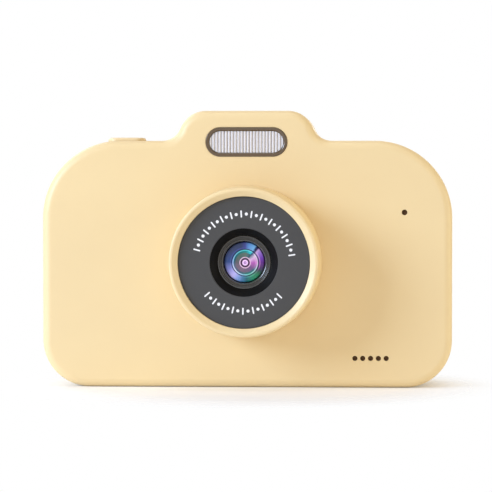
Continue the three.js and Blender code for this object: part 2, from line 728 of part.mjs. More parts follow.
/** Flat cable: a thin strip that follows (y, z) points, between x = left and x = right. */
function flatCable(points, left, right) {
  const thickness = 0.15;
  const path = points.map(([y, z]) => new THREE.Vector2(y, z));
  const sides = [[], []];
  path.forEach((point, i) => {
    const before = path[Math.max(i - 1, 0)];
    const after = path[Math.min(i + 1, path.length - 1)];
    const along = after.clone().sub(before).normalize();
    const across = new THREE.Vector2(-along.y, along.x).multiplyScalar(thickness);
    sides[0].push(point.clone().add(across));
    sides[1].unshift(point.clone().sub(across));
  });
  return slice(new THREE.Shape([...sides[0], ...sides[1]].reverse()), left, right);
}

function sensorCable() {
  const from = SENSOR_BOARD_Y + 1 + GAP + 0.15;
  const to = BOARD_Y - GAP - 0.15;
  const points = [[from, 29], [from, 23], [from + 0.6, 21.5], [6, 18], [to - 0.6, 14.5], [to, 13], [to, 9]];
  return flatCable(points, -4, 4);
}

function lcdCable() {
  const from = LCD_FRONT_Y + 1.2;
  const to = BOARD_Y + BOARD_THICKNESS + GAP + 0.15;
  const edge = SCREEN_Z - LCD_HEIGHT / 2 - GAP;
  return flatCable([[from, edge], [from, edge - 1], [to + 0.5, edge - 2.6], [to, edge - 4], [to, edge - 8]], 5, 23);
}

// ---- Ports --------------------------------------------------------------------------------------

function usbSocket() {
  const far = BOARD_Y - GAP;
  const mouth = HALF_WIDTH - WALL - GAP;
  const middle = far - USB_HEIGHT / 2;
  const shell = slice(roundedRectangle(middle, USB_Z, USB_HEIGHT, USB_WIDTH, 1.4), mouth - 7.3, mouth);
  const hollow = slice(roundedRectangle(middle, USB_Z, USB_HEIGHT - 0.7, USB_WIDTH - 0.7, 1.1), mouth - 6.3, mouth + 1);
  const tongue = block([mouth - 7, mouth - 1], [middle - 0.35, middle + 0.35], [USB_Z - 3, USB_Z + 3]);
  return join(cut(shell, hollow), tongue);
}

const CARD_OUTER_X = HALF_WIDTH - CARD_RECESS;
const CARD_INNER_X = CARD_OUTER_X - CARD_LENGTH;

function cardSocket() {
  const far = BOARD_Y - GAP;
  const halfSlot = CARD_THICKNESS / 2 + GAP;
  const mouth = HALF_WIDTH - WALL - GAP;
  const halfWidth = CARD_WIDTH / 2 + 1;
  const near = 2 * CARD_Y - far;
  const body = block([CARD_INNER_X - 1.6, mouth], [near, far], [CARD_Z - halfWidth, CARD_Z + halfWidth]);
  const hollow = block(
    [CARD_INNER_X - 1, mouth + 1],
    [CARD_Y - halfSlot, CARD_Y + halfSlot],
    [CARD_Z - CARD_WIDTH / 2 - GAP, CARD_Z + CARD_WIDTH / 2 + GAP],
  );
  return cut(body, hollow);
}

/** Memory card with one cut corner at its inner end. */
function memoryCard() {
  const low = CARD_Z - CARD_WIDTH / 2;
  const high = CARD_Z + CARD_WIDTH / 2;
  const shape = new THREE.Shape([
    new THREE.Vector2(CARD_INNER_X, low),
    new THREE.Vector2(CARD_OUTER_X, low),
    new THREE.Vector2(CARD_OUTER_X, high),
    new THREE.Vector2(CARD_INNER_X + 6.5, high),
    new THREE.Vector2(CARD_INNER_X + 5.2, high - 1.3),
    new THREE.Vector2(CARD_INNER_X, high - 1.3),
  ]);
  return plate(shape, CARD_Y - CARD_THICKNESS / 2, CARD_Y + CARD_THICKNESS / 2);
}

function portCover() {
  const outer = HALF_WIDTH - FLAP_SINK;
  const middle = (FLAP_FRONT_Y + FLAP_HINGE_Y) / 2;
  const width = FLAP_HINGE_Y - FLAP_FRONT_Y;
  return slice(roundedRectangle(middle, USB_Z, width, FLAP_HEIGHT, 0.8), outer - FLAP_THICKNESS, outer);
}

// ---- Buttons ------------------------------------------------------------------------------------

const FLANGE_BACK_Y = INNER_BACK_Y - GAP;

/** Rear key: a cap that stands proud of the case and a flange that holds it inside. */
function rearKey(cap, flange) {
  const top = plate(cap, FLANGE_BACK_Y - 0.8, BACK_Y + KEY_PROUD, 0.35);
  return join(top, plate(flange, FLANGE_BACK_Y - KEY_FLANGE, FLANGE_BACK_Y));
}

function okKey() {
  return rearKey(circle(PAD_X, PAD_Z, OK_R), circle(PAD_X, PAD_Z, OK_R + KEY_FLANGE_OVERLAP));
}

function arrowKey(angle) {
  return rearKey(arrowShape(angle), arrowShape(angle, 0.15, KEY_FLANGE_OVERLAP + GAP));
}

function pillKey([x, z]) {
  const grow = 2 * KEY_FLANGE_OVERLAP;
  return rearKey(stadium(x, z, PILL_WIDTH, PILL_HEIGHT), stadium(x, z, PILL_WIDTH + grow, PILL_HEIGHT + grow));
}

function shutterKey() {
  const top = SHOULDER_HEIGHT + SHUTTER_PROUD;
  const cap = roundedRectangle(SHUTTER_X, SHUTTER_Y, SHUTTER_WIDTH, SHUTTER_LENGTH, 2.5);
  const flange = roundedRectangle(SHUTTER_X, SHUTTER_Y, SHUTTER_WIDTH + 1.6, SHUTTER_LENGTH + 1.6, 2.5);
  return join(
    layer(cap, SHUTTER_FLANGE_TOP - 0.9, top, 0.5, 2),
    layer(flange, SHUTTER_FLANGE_TOP - 1, SHUTTER_FLANGE_TOP),
  );
}

// ---- Assembly -----------------------------------------------------------------------------------

const camera = new THREE.Group();

function place(name, manifold, material) {
  const { vertProperties, triVerts } = manifold.getMesh();
  const geometry = new THREE.BufferGeometry();
  geometry.setAttribute('position', new THREE.BufferAttribute(vertProperties, 3));
  geometry.setIndex(new THREE.BufferAttribute(triVerts, 1));
  geometry.computeVertexNormals();
  const mesh = new THREE.Mesh(geometry, material);
  mesh.name = name;
  camera.add(mesh);
}

function placeCase() {
  place('front_shell', frontShell(), MATERIALS.shell);
  place('rear_shell', rearShell(), MATERIALS.shell);
  place('strap_pin', strapPin(), MATERIALS.steel);
  SCREW_PLACES.forEach((where, i) => place(`case_screw_${i + 1}`, caseScrew(where), MATERIALS.steel));
}

function placeLens() {
  place('lens_barrel', lensBarrel(), MATERIALS.shell);
  place('lens_face_plate', lensFacePlate(), MATERIALS.face);
  place('lens_cone_bezel', lensConeBezel(), MATERIALS.black);
  place('lens_holder', lensHolder(), MATERIALS.holder);
  place('front_lens_element', lensElement(FRONT_GLASS_R, HOLDER_FRONT_Y + 0.4, 1, 2.8), MATERIALS.glass);
  place('rear_lens_element', lensElement(REAR_GLASS_R, -8, 0.7, 2.4), MATERIALS.glass);
  place('lens_mount', lensMount(), MATERIALS.black);
  place('image_sensor', imageSensor(), MATERIALS.chip);
  place('sensor_board', sensorBoard(), MATERIALS.board);
  place('sensor_cable', sensorCable(), MATERIALS.ribbon);
}

function placeFlash() {
  place('flash_bezel', flashBezel(), MATERIALS.smoke);
  place('flash_window', flashWindow(), MATERIALS.clear);
  place('flash_reflector', flashReflector(), MATERIALS.mirror);
  place('flash_led', flashLed(), MATERIALS.led);
  place('flash_board', flashBoard(), MATERIALS.board);
}

function placeSound() {
  place('microphone', microphone(), MATERIALS.black);
  place('speaker_gasket', speakerGasket(), MATERIALS.foam);
  place('speaker', speaker(), MATERIALS.black);
}

function placeScreenAndBoards() {
  place('screen_cover', screenCover(), MATERIALS.screen);
  place('lcd_module', lcdModule(), MATERIALS.steel);
  place('lcd_cable', lcdCable(), MATERIALS.ribbon);
  place('main_board', mainBoard(), MATERIALS.board);
  place('processor_chip', chip(20, 44, 11, 1), MATERIALS.chip);
  place('memory_chip', chip(20, 30, 8, 0.9), MATERIALS.chip);
  place('battery', battery(), MATERIALS.battery);
  place('battery_pad', batteryPad(), MATERIALS.foam);
  place('battery_wire_red', batteryWire(0.9), MATERIALS.redWire);
  place('battery_wire_black', batteryWire(-0.9), MATERIALS.blackWire);
}

function placePorts() {
  place('usb_socket', usbSocket(), MATERIALS.steel);
  place('card_socket', cardSocket(), MATERIALS.steel);
  place('memory_card', memoryCard(), MATERIALS.chip);
  place('port_cover', portCover(), MATERIALS.rubber);
}

function placeButtons() {
  const reach = (ARROW_INNER_R + ARROW_OUTER_R) / 2;
  place('shutter_button', shutterKey(), MATERIALS.key);
  place('shutter_switch', shutterSwitch(), MATERIALS.chip);
  place('shutter_board', shutterBoard(), MATERIALS.board);
  place('ok_button', okKey(), MATERIALS.key);
  place('ok_switch', keySwitch(PAD_X, PAD_Z), MATERIALS.chip);
  for (const [name, angle] of Object.entries(ARROW_KEYS)) {
    const x = PAD_X + reach * Math.cos(angle);
    const z = PAD_Z + reach * Math.sin(angle);
    place(name, arrowKey(angle), MATERIALS.key);
    place(name.replace('button', 'switch'), keySwitch(x, z), MATERIALS.chip);
  }
  for (const [name, where] of Object.entries(PILL_KEYS)) {
    place(name, pillKey(where), MATERIALS.key);
    place(name.replace('button', 'switch'), keySwitch(...where), MATERIALS.chip);
  }
}

placeCase();
placeLens();
placeFlash();
placeSound();
placeScreenAndBoards();
placePorts();
placeButtons();

export default camera;
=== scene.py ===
import json
from math import asin, atan2, cos, degrees, pi, radians, sin, sqrt, tan

import bmesh
import bpy
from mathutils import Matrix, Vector


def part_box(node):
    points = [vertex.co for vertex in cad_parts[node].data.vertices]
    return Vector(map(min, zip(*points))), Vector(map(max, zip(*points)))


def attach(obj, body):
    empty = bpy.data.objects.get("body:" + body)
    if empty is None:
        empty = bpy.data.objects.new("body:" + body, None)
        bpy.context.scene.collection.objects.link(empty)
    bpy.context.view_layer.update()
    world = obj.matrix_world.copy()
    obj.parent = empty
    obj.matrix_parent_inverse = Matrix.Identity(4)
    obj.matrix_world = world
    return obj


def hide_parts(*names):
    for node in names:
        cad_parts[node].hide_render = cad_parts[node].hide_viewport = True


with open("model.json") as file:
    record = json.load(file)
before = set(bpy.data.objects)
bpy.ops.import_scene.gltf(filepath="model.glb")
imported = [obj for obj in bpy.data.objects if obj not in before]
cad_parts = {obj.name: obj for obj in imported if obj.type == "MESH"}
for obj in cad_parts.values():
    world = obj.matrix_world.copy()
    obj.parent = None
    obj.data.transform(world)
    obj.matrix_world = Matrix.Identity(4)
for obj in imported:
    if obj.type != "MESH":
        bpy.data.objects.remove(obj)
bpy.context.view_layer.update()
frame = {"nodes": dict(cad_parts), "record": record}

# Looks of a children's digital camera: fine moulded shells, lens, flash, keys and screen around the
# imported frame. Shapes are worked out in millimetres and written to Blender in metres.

MM = 0.001

# ---- Places taken from the frame ----


def node_box(node):
    """Lowest and highest corner of a CAD node, in millimetres."""
    low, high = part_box(node)
    return low / MM, high / MM


def node_span(node):
    """Middle and size of a CAD node, in millimetres."""
    low, high = node_box(node)
    return (low + high) / 2, high - low


def node_middle(node):
    return node_span(node)[0]


FRONT_LOW, FRONT_HIGH = node_box("front_shell")
REAR_LOW, REAR_HIGH = node_box("rear_shell")
HALF_WIDTH = FRONT_HIGH.x
OUTSIDE_X = HALF_WIDTH + 1
HUMP_Z = FRONT_HIGH.z
FRONT_Y = FRONT_LOW.y
BACK_Y = REAR_HIGH.y
PARTING_Y = REAR_LOW.y - 0.15
BARREL_LOW, BARREL_HIGH = node_box("lens_barrel")
RIM_Y = BARREL_LOW.y
BARREL_R = BARREL_HIGH.x
LENS_Z = (BARREL_LOW.z + BARREL_HIGH.z) / 2
KEY_Y = node_box("ok_button")[1].y
SHUTTER_LOW, SHUTTER_HIGH = node_box("shutter_button")

# ---- Case sizes ----

SHOULDER_Z = 60.1
LOWER_CORNER_R = 11.5
UPPER_CORNER_R = 18.8
HUMP_CORNER_X = 10.1
HUMP_CORNER_R = 6.5
HUMP_ROOT_R = 5
EDGE_R = 2.2
WALL = 1.8
REAR_WALL = 2.2
SEAM_GAP = 0.06
SEAM_EDGE = 0.18
HOLE_EDGE = 0.22
FRONT_HOLE_EDGE = 0.14
INK_FILM = 0.02
LCD_VIEW = (40.6, 30.5)
RIB_COUNT = 24
RIB_STEPS = 10
RIB_PITCH = 0.765
RIB_DEPTH = 0.36
RIB_CREST_Y = FRONT_Y + 0.08
SCREW_NODES = [f"case_screw_{number}" for number in range(1, 5)]

# ---- Mesh tools ----

SHARP_ANGLE = radians(38)
FLAT_ANGLE = radians(0.5)
MERGE_DISTANCE = 1e-4
ROUND_STEPS = 144
BARREL_STEPS = 192
CORNER_STEPS = 5
BEVEL_STEPS = 3


def add_object(name, data):
    made = bpy.data.objects.new(name, data)
    bpy.context.scene.collection.objects.link(made)
    return made


def new_object(name, points, faces):
    """Mesh object from points in millimetres, with its faces turned outwards."""
    mesh = bpy.data.meshes.new(name)
    mesh.from_pydata([Vector(point) * MM for point in points], [], faces)
    shape = bmesh.new()
    shape.from_mesh(mesh)
    bmesh.ops.remove_doubles(shape, verts=shape.verts, dist=MERGE_DISTANCE * MM)
    bmesh.ops.recalc_face_normals(shape, faces=shape.faces)
    shape.to_mesh(mesh)
    shape.free()
    return add_object(name, mesh)


def strip(here, there, count):
    """Ring of faces between two loops of count points that start at here and there."""
    turns = [(i, (i + 1) % count) for i in range(count)]
    return [(here + i, here + after, there + after, there + i) for i, after in turns]


def loft(name, loops, closed=False):
    """Skin over loops that have equal counts. An open loft gets a cap at each end."""
    count = len(loops[0])
    points = [point for loop in loops for point in loop]
    faces = []
    rows = len(loops) if closed else len(loops) - 1
    for row in range(rows):
        faces += strip(row * count, (row + 1) % len(loops) * count, count)
    if not closed:
        faces.append(tuple(range(count)))
        faces.append(tuple(range(len(points) - count, len(points))))
    return new_object(name, points, faces)


def placed(outline, distance, axis):
    """Outline lifted into space at a distance along an axis."""
    if axis == "x":
        return [(distance, a, b) for a, b in outline]
    if axis == "y":
        return [(a, distance, b) for a, b in outline]
    return [(a, b, distance) for a, b in outline]


def tower(name, outline, stations, axis="y"):
    """Solid whose section is outline(grow) at each (grow, distance) station along the axis."""
    return loft(name, [placed(outline(grow), distance, axis) for grow, distance in stations])


def round_edge(face, facing, radius, steps=8):
    """Stations of a rounded edge, from the side of a solid up to the face that ends it."""
    stations = []
    for i in range(steps + 1):
        turn = pi / 2 * i / steps
        inward = radius * (1 - cos(turn))
        stations.append((-inward, face - facing * radius * (1 - sin(turn))))
    return stations


def lathe(name, profile, steps=ROUND_STEPS):
    """Ring turned about the lens axis. The profile lists (radius, y) and closes on itself."""
    loops = []
    for i in range(steps):
        turn = 2 * pi * i / steps
        cosine = cos(turn)
        sine = sin(turn)
        loops.append([(radius * cosine, y, LENS_Z + radius * sine) for radius, y in profile])
    return loft(name, loops, closed=True)


def rounded(corners):
    """Closed path through (a, b, radius) corners, each turned into an arc."""
    path = []
    count = len(corners)
    for i, (a, b, radius) in enumerate(corners):
        corner = Vector((a, b))
        if radius <= 0:
            path.append((a, b))
            continue
        back = (Vector(corners[i - 1][:2]) - corner).normalized()
        ahead = (Vector(corners[(i + 1) % count][:2]) - corner).normalized()
        half = back.angle(ahead) / 2
        centre = corner + (back + ahead).normalized() * (radius / sin(half))
        start = corner + back * (radius / tan(half)) - centre
        end = corner + ahead * (radius / tan(half)) - centre
        sweep = start.angle_signed(end)
        first = atan2(start.y, start.x)
        for step in range(CORNER_STEPS + 1):
            turn = first - sweep * step / CORNER_STEPS
            path.append((centre.x + radius * cos(turn), centre.y + radius * sin(turn)))
    return path


def settle(piece):
    """Applies the modifiers that a piece has."""
    graph = bpy.context.evaluated_depsgraph_get()
    mesh = bpy.data.meshes.new_from_object(piece.evaluated_get(graph))
    piece.modifiers.clear()
    piece.data = mesh


def combine(piece, tools, operation="DIFFERENCE"):
    """Cuts the tools from a piece, or joins them to it, and removes them."""
    for tool in tools:
        step = piece.modifiers.new("combine", "BOOLEAN")
        step.operation = operation
        step.solver = "EXACT"
        step.object = tool
    settle(piece)
    for tool in tools:
        bpy.data.objects.remove(tool)
    return piece


def soften(piece, width, wanted):
    """Rounds the sharp edges whose middle, in millimetres, is wanted."""
    shape = bmesh.new()
    shape.from_mesh(piece.data)
    bmesh.ops.dissolve_limit(shape, angle_limit=FLAT_ANGLE, verts=shape.verts, edges=shape.edges)
    edges = []
    for edge in shape.edges:
        middle = (edge.verts[0].co + edge.verts[1].co) / 2 / MM
        if len(edge.link_faces) == 2 and edge.calc_face_angle() > SHARP_ANGLE and wanted(middle):
            edges.append(edge)
    bmesh.ops.bevel(
        shape, geom=edges, offset=width * MM, segments=BEVEL_STEPS, profile=0.5,
        affect="EDGES", clamp_overlap=False,
    )
    shape.to_mesh(piece.data)
    shape.free()
    return piece


def dress(piece, body, slot, *nodes, paint=None):
    """Finishes a piece, parents it to the body it rides on and hides the CAD nodes it stands for."""
    piece.data.materials.clear()
    piece.data.materials.append(PAINTS[paint or slot])
    piece.data.shade_smooth()
    piece.data.set_sharp_from_angle(angle=SHARP_ANGLE)
    weighted = piece.modifiers.new("weighted", "WEIGHTED_NORMAL")
    weighted.keep_sharp = True
    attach(piece, body)
    if nodes:
        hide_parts(*nodes)
    return piece


# ---- Outlines ----


def arc(a, b, radius, start, end, steps):
    """Points on an arc, angles in degrees."""
    points = []
    for i in range(steps + 1):
        turn = radians(start + (end - start) * i / steps)
        points.append((a + radius * cos(turn), b + radius * sin(turn)))
    return points


def case_outline(grow):
    """Body outline from the front. Round shoulders, and a hump whose corner and root arcs meet."""
    corner_z = HUMP_Z - HUMP_CORNER_R
    root_z = SHOULDER_Z + HUMP_ROOT_R
    reach = HUMP_CORNER_R + HUMP_ROOT_R
    lean = degrees(asin((root_z - corner_z) / reach))
    root_x = HUMP_CORNER_X + reach * cos(radians(lean))
    lower_x = HALF_WIDTH - LOWER_CORNER_R
    upper_x = HALF_WIDTH - UPPER_CORNER_R
    upper_z = SHOULDER_Z - UPPER_CORNER_R
    right = [
        *arc(lower_x, LOWER_CORNER_R, LOWER_CORNER_R + grow, -90, 0, 20),
        *arc(upper_x, upper_z, UPPER_CORNER_R + grow, 0, 90, 28),
        *arc(root_x, root_z, HUMP_ROOT_R - grow, -90, lean - 180, 12)[:-1],
        *arc(HUMP_CORNER_X, corner_z, HUMP_CORNER_R + grow, lean, 90, 14),
    ]
    left = [(-x, z) for x, z in reversed(right)]
    return right + left


def circle(a, b, radius, steps=48):
    """Round outline as a function of how far it grows."""
    return lambda grow: arc(a, b, radius + grow, 0, 360 - 360 / steps, steps - 1)


def rectangle(a, b, width, height, corner, steps=8):
    """Rectangle with round corners, as a function of how far it grows."""
    right = width / 2 - corner
    top = height / 2 - corner
    places = [(right, -top), (right, top), (-right, top), (-right, -top)]

    def outline(grow):
        points = []
        for i, (across, up) in enumerate(places):
            points += arc(a + across, b + up, corner + grow, 90 * (i - 1), 90 * i, steps)
        return points

    return outline


def swapped(outline):
    """The same outline with its two coordinates exchanged."""
    return lambda grow: [(a, b) for b, a in outline(grow)]


def stadium(a, b, width, height):
    """Rectangle whose ends are half circles."""
    radius = height / 2
    reach = width / 2 - radius

    def outline(grow):
        right = arc(a + reach, b, radius + grow, -90, 90, 24)
        left = arc(a - reach, b, radius + grow, 90, 270, 24)
        return right + left

    return outline


# ---- Materials ----


# Sockets of a Mix node that it uses when it mixes colours: factor, A, B and the result.
MIX_COLOR_INPUTS = (0, 6, 7)
MIX_COLOR_OUTPUT = 2


class Paint:
    """A node material: a Principled surface and the nodes that feed it."""

    def __init__(self, name, color, roughness, settings=None):
        self.material = bpy.data.materials.new(name)
        self.material.use_nodes = True
        self.nodes = self.material.node_tree.nodes
        self.links = self.material.node_tree.links
        self.surface = self.nodes["Principled BSDF"]
        self.surface.inputs["Base Color"].default_value = (*color, 1)
        self.surface.inputs["Roughness"].default_value = roughness
        for label, value in (settings or {}).items():
            self.surface.inputs[label].default_value = value

    def node(self, kind, **settings):
        made = self.nodes.new("ShaderNode" + kind)
        for label, value in settings.items():
            setattr(made, label, value)
        return made

    def link(self, source, target):
        self.links.new(source, target)

    def place(self):
        """Place in the shared frame at rest, in metres."""
        return self.node("TexCoord").outputs["Object"]

    def axes(self):
        """The place as separate X, Y and Z."""
        parts = self.node("SeparateXYZ")
        self.link(self.place(), parts.inputs["Vector"])
        return parts.outputs

    def noise(self, size, detail=3.0):
        """Noise whose blotches are about size millimetres across."""
        made = self.node("TexNoise")
        made.inputs["Scale"].default_value = 1 / (size * MM)
        made.inputs["Detail"].default_value = detail
        self.link(self.place(), made.inputs["Vector"])
        return made.outputs["Fac"]

    def fill(self, sockets, values):
        """Sets each socket to a number or a colour, or links it to another socket."""
        for socket, value in zip(sockets, values):
            if isinstance(value, (int, float)):
                socket.default_value = value
            elif isinstance(value, tuple):
                socket.default_value = (*value, 1)
            else:
                self.link(value, socket)

    def math(self, operation, *values):
        made = self.node("Math", operation=operation)
        self.fill(made.inputs, values)
        return made.outputs["Value"]

    def away(self, across, up):
        """Distance from the point where both values are 0."""
        squares = [self.math("MULTIPLY", value, value) for value in (across, up)]
        return self.math("SQRT", self.math("ADD", *squares))

    def between(self, value, low, high):
        """Value stretched from 0..1 to low..high."""
        made = self.node("MapRange")
        self.fill((made.inputs[label] for label in ("Value", "To Min", "To Max")), (value, low, high))
        return made.outputs["Result"]

    def band(self, value, low, high, soft):
        """1 between low and high, falling to 0 over soft on both sides."""
        rise = self.ramp(value, low - soft, low + soft)
        fall = self.ramp(value, high - soft, high + soft)
        return self.math("SUBTRACT", rise, fall)

    def ramp(self, value, low, high):
        """Smooth step from 0 at low to 1 at high."""
        made = self.node("MapRange", interpolation_type="SMOOTHSTEP")
        self.fill((made.inputs[label] for label in ("Value", "From Min", "From Max")), (value, low, high))
        return made.outputs["Result"]

    def mix(self, amount, first, second):
        """Mixes two colours, each a colour or a socket."""
        made = self.node("Mix", data_type="RGBA")
        sockets = [made.inputs[number] for number in MIX_COLOR_INPUTS]
        self.fill(sockets, (amount, first, second))
        return made.outputs[MIX_COLOR_OUTPUT]

    def color(self, socket):
        self.link(socket, self.surface.inputs["Base Color"])

    def vary_color(self, size, first, second):
        self.color(self.mix(self.noise(size), first, second))

    def vary_roughness(self, size, low, high):
        self.link(self.between(self.noise(size), low, high), self.surface.inputs["Roughness"])

    def bump(self, height, strength, distance):
        """Bumps distance millimetres high."""
        made = self.node("Bump")
        made.inputs["Strength"].default_value = strength
        made.inputs["Distance"].default_value = distance * MM
        self.link(height, made.inputs["Height"])
        self.link(made.outputs["Normal"], self.surface.inputs["Normal"])


def shell_paint():
    """Pale yellow plastic with a fine spark-eroded texture."""
    paint = Paint("shell_plastic", (0.85, 0.66, 0.36), 0.42)
    paint.vary_color(9, (0.86, 0.672, 0.368), (0.84, 0.648, 0.352))
    paint.vary_roughness(0.6, 0.38, 0.5)
    paint.bump(paint.noise(0.22, 4.0), 0.25, 0.01)
    return paint.material


def face_paint():
    paint = Paint("face_plastic", (0.057, 0.057, 0.057), 0.5)
    paint.vary_color(4, (0.059, 0.059, 0.059), (0.054, 0.054, 0.055))
    paint.vary_roughness(0.5, 0.42, 0.55)
    paint.bump(paint.noise(0.12), 0.15, 0.006)
    return paint.material


def plain_paint(name, color, roughness, size=0.5, settings=None):
    """Moulded plastic, ink, foam or resin: colour and roughness drift a little over its surface."""
    paint = Paint(name, color, roughness, settings)
    lighter = tuple(min(1.0, channel * 1.08) for channel in color)
    darker = tuple(channel * 0.92 for channel in color)
    paint.vary_color(size * 4, darker, lighter)
    paint.vary_roughness(size, max(0.02, roughness - 0.06), min(1.0, roughness + 0.06))
    paint.bump(paint.noise(size * 0.4), 0.2, 0.008)
    return paint.material


def steel_paint():
    """Plated steel with fine brush lines."""
    paint = Paint("steel", (0.6, 0.6, 0.61), 0.3, {"Metallic": 1.0})
    stretch = paint.node("Mapping")
    stretch.inputs["Scale"].default_value = (1, 1, 12)
    paint.link(paint.place(), stretch.inputs["Vector"])
    lines = paint.node("TexNoise")
    lines.inputs["Scale"].default_value = 1 / MM
    paint.link(stretch.outputs["Vector"], lines.inputs["Vector"])
    paint.link(paint.between(lines.outputs["Fac"], 0.2, 0.42), paint.surface.inputs["Roughness"])
    return paint.material


def screen_paint():
    """Black window with a dark blue-grey picture area under the gloss."""
    paint = Paint("screen_glass", (0.006, 0.006, 0.007), 0.08, {"Coat Weight": 1.0})
    middle = node_middle("screen_cover")
    parts = paint.axes()
    across = paint.math("ABSOLUTE", paint.math("SUBTRACT", parts["X"], middle.x * MM))
    up = paint.math("ABSOLUTE", paint.math("SUBTRACT", parts["Z"], middle.z * MM))
    inside_x = paint.math("LESS_THAN", across, LCD_VIEW[0] / 2 * MM)
    inside_z = paint.math("LESS_THAN", up, LCD_VIEW[1] / 2 * MM)
    picture = paint.math("MULTIPLY", inside_x, inside_z)
    paint.color(paint.mix(picture, (0.005, 0.005, 0.006), (0.022, 0.026, 0.032)))
    return paint.material


def ribbed_paint():
    """Clear flash window: milky ribs with painted shade in the grooves and a fine grain."""
    paint = Paint("clear_plastic", (0.75, 0.73, 0.72), 0.3, {"Coat Weight": 0.4})
    parts = paint.axes()
    height = paint.math("SUBTRACT", parts["Y"], RIB_CREST_Y * MM)
    # Painted shade: the grooves between the ribs are mixed towards a darker grey.
    groove_shade = paint.ramp(height, 0.08 * MM, RIB_DEPTH * MM)
    wander = paint.math("MULTIPLY", paint.noise(0.9), 0.6)
    lit = paint.mix(wander, (0.78, 0.75, 0.75), (0.58, 0.56, 0.56))
    speck = paint.ramp(paint.noise(0.16, 2.0), 0.52, 0.66)
    lit = paint.mix(paint.math("MULTIPLY", speck, 0.35), lit, (0.38, 0.36, 0.35))
    paint.color(paint.mix(paint.math("MULTIPLY", groove_shade, 0.5), lit, (0.4, 0.38, 0.37)))
    return paint.material


def linear(red, green, blue):
    """Colour as light, from the 0..255 values a screen shows."""
    return tuple(
        value / 255 / 12.92 if value <= 10 else ((value / 255 + 0.055) / 1.055) ** 2.4
        for value in (red, green, blue)
    )


def around(paint, turn, stops):
    """Colours placed round a circle. Stops are (degrees, red, green, blue), and the first closes it."""
    wheel = paint.node("ValToRGB")
    elements = wheel.color_ramp.elements
    for element, angle in zip(elements, (0, 359)):
        element.position = angle / 360
        element.color = (*linear(*stops[0][1:]), 1)
    for angle, *shade in stops[1:]:
        elements.new(angle / 360).color = (*linear(*shade), 1)
    paint.link(turn, wheel.inputs["Fac"])
    return wheel.outputs["Color"]


# Middle of the painted coating reflections, set a little off the lens axis as deeper elements appear from
# the main camera's angle.
COATING_REFLECTION_X = 0.22
COATING_REFLECTION_Z = LENS_Z - 0.08

# Painted reflections in the lens coatings, as colours round the lens: degrees anticlockwise from the
# right, then red, green and blue.
OUTER_COATING_REFLECTION = [
    (0, 112, 50, 160), (16, 132, 78, 206), (32, 172, 130, 232), (44, 222, 186, 246), (48, 30, 36, 84),
    (54, 36, 54, 110), (58, 130, 196, 246), (76, 104, 164, 232), (90, 74, 84, 160), (104, 58, 74, 112),
    (140, 64, 80, 124), (178, 56, 86, 150), (200, 124, 130, 206), (226, 206, 196, 255),
    (244, 140, 172, 236), (260, 64, 126, 172), (274, 20, 108, 118), (298, 28, 154, 112),
    (316, 34, 142, 98), (330, 46, 76, 80), (344, 86, 44, 120),
]
INNER_COATING_REFLECTION = [
    (0, 196, 104, 196), (28, 232, 186, 236), (44, 160, 160, 180), (54, 40, 66, 92), (66, 60, 110, 116),
    (84, 92, 112, 104), (120, 72, 100, 94), (160, 86, 96, 96), (200, 110, 90, 108), (240, 122, 96, 118),
    (280, 112, 96, 122), (320, 118, 82, 138),
]
MIDDLE_COATING_REFLECTION = [
    (0, 226, 140, 226), (34, 240, 212, 244), (46, 120, 130, 170), (52, 24, 50, 90), (60, 40, 210, 226),
    (84, 14, 140, 138), (120, 12, 108, 104), (160, 24, 96, 104), (200, 84, 96, 120), (240, 60, 84, 110),
    (280, 28, 116, 110), (320, 64, 110, 130),
]
RING_COATING_REFLECTION = [
    (0, 246, 210, 250), (40, 250, 236, 255), (50, 50, 84, 140), (60, 110, 240, 250), (90, 60, 204, 206),
    (130, 96, 190, 206), (180, 160, 190, 246), (220, 232, 236, 255), (258, 150, 214, 240),
    (290, 110, 226, 196), (330, 196, 226, 240),
]
FAN_COATING_REFLECTION = [
    (0, 222, 140, 232), (40, 244, 206, 252), (48, 40, 44, 100), (58, 130, 196, 246), (90, 74, 84, 160),
    (180, 70, 96, 160), (226, 196, 190, 255), (262, 60, 130, 170), (300, 90, 196, 156),
    (328, 110, 96, 130), (345, 206, 120, 216),
]


def glass_paint():
    """Coated lens glass with painted reflections: violet, blue and green fans between thin bright rings
    stand in for light reflected by the coatings and inner elements.
    """
    settings = {"Coat Weight": 0.7, "Coat Roughness": 0.04, "Specular IOR Level": 0.2}
    paint = Paint("lens_glass", (0.1, 0.15, 0.3), 0.15, settings)
    parts = paint.axes()
    across = paint.math("SUBTRACT", parts["X"], COATING_REFLECTION_X * MM)
    up = paint.math("SUBTRACT", parts["Z"], COATING_REFLECTION_Z * MM)
    turn = paint.math("FRACT", paint.math("DIVIDE", paint.math("ARCTAN2", up, across), 2 * pi))
    radius = paint.math("DIVIDE", paint.away(across, up), MM)
    # Painted reflections of the inner elements and coatings: bright and dark rings laid over the outer
    # colours.
    layers = [
        (paint.band(radius, 3.42, 3.62, 0.12), around(paint, turn, FAN_COATING_REFLECTION)),
        (paint.ramp(radius, 3.4, 3.2), linear(26, 34, 76)),
        (paint.ramp(radius, 3.12, 3.02), around(paint, turn, RING_COATING_REFLECTION)),
        (paint.ramp(radius, 2.86, 2.76), around(paint, turn, MIDDLE_COATING_REFLECTION)),
        (paint.ramp(radius, 2.5, 2.2), around(paint, turn, INNER_COATING_REFLECTION)),
        (paint.band(radius, 1.16, 1.36, 0.08), linear(238, 196, 226)),
        (paint.ramp(radius, 1.14, 1.04), linear(58, 16, 62)),
        (paint.ramp(radius, 0.76, 0.64), linear(250, 208, 254)),
        (paint.band(radius, 0.1, 0.34, 0.08), linear(166, 116, 186)),
    ]
    color = around(paint, turn, OUTER_COATING_REFLECTION)
    for amount, shade in layers:
        color = paint.mix(amount, color, shade)
    from_axis = paint.away(parts["X"], paint.math("SUBTRACT", parts["Z"], LENS_Z * MM))
    rim = paint.ramp(from_axis, 4.62 * MM, 4.85 * MM)
    paint.color(paint.mix(rim, color, linear(12, 10, 22)))
    return paint.material


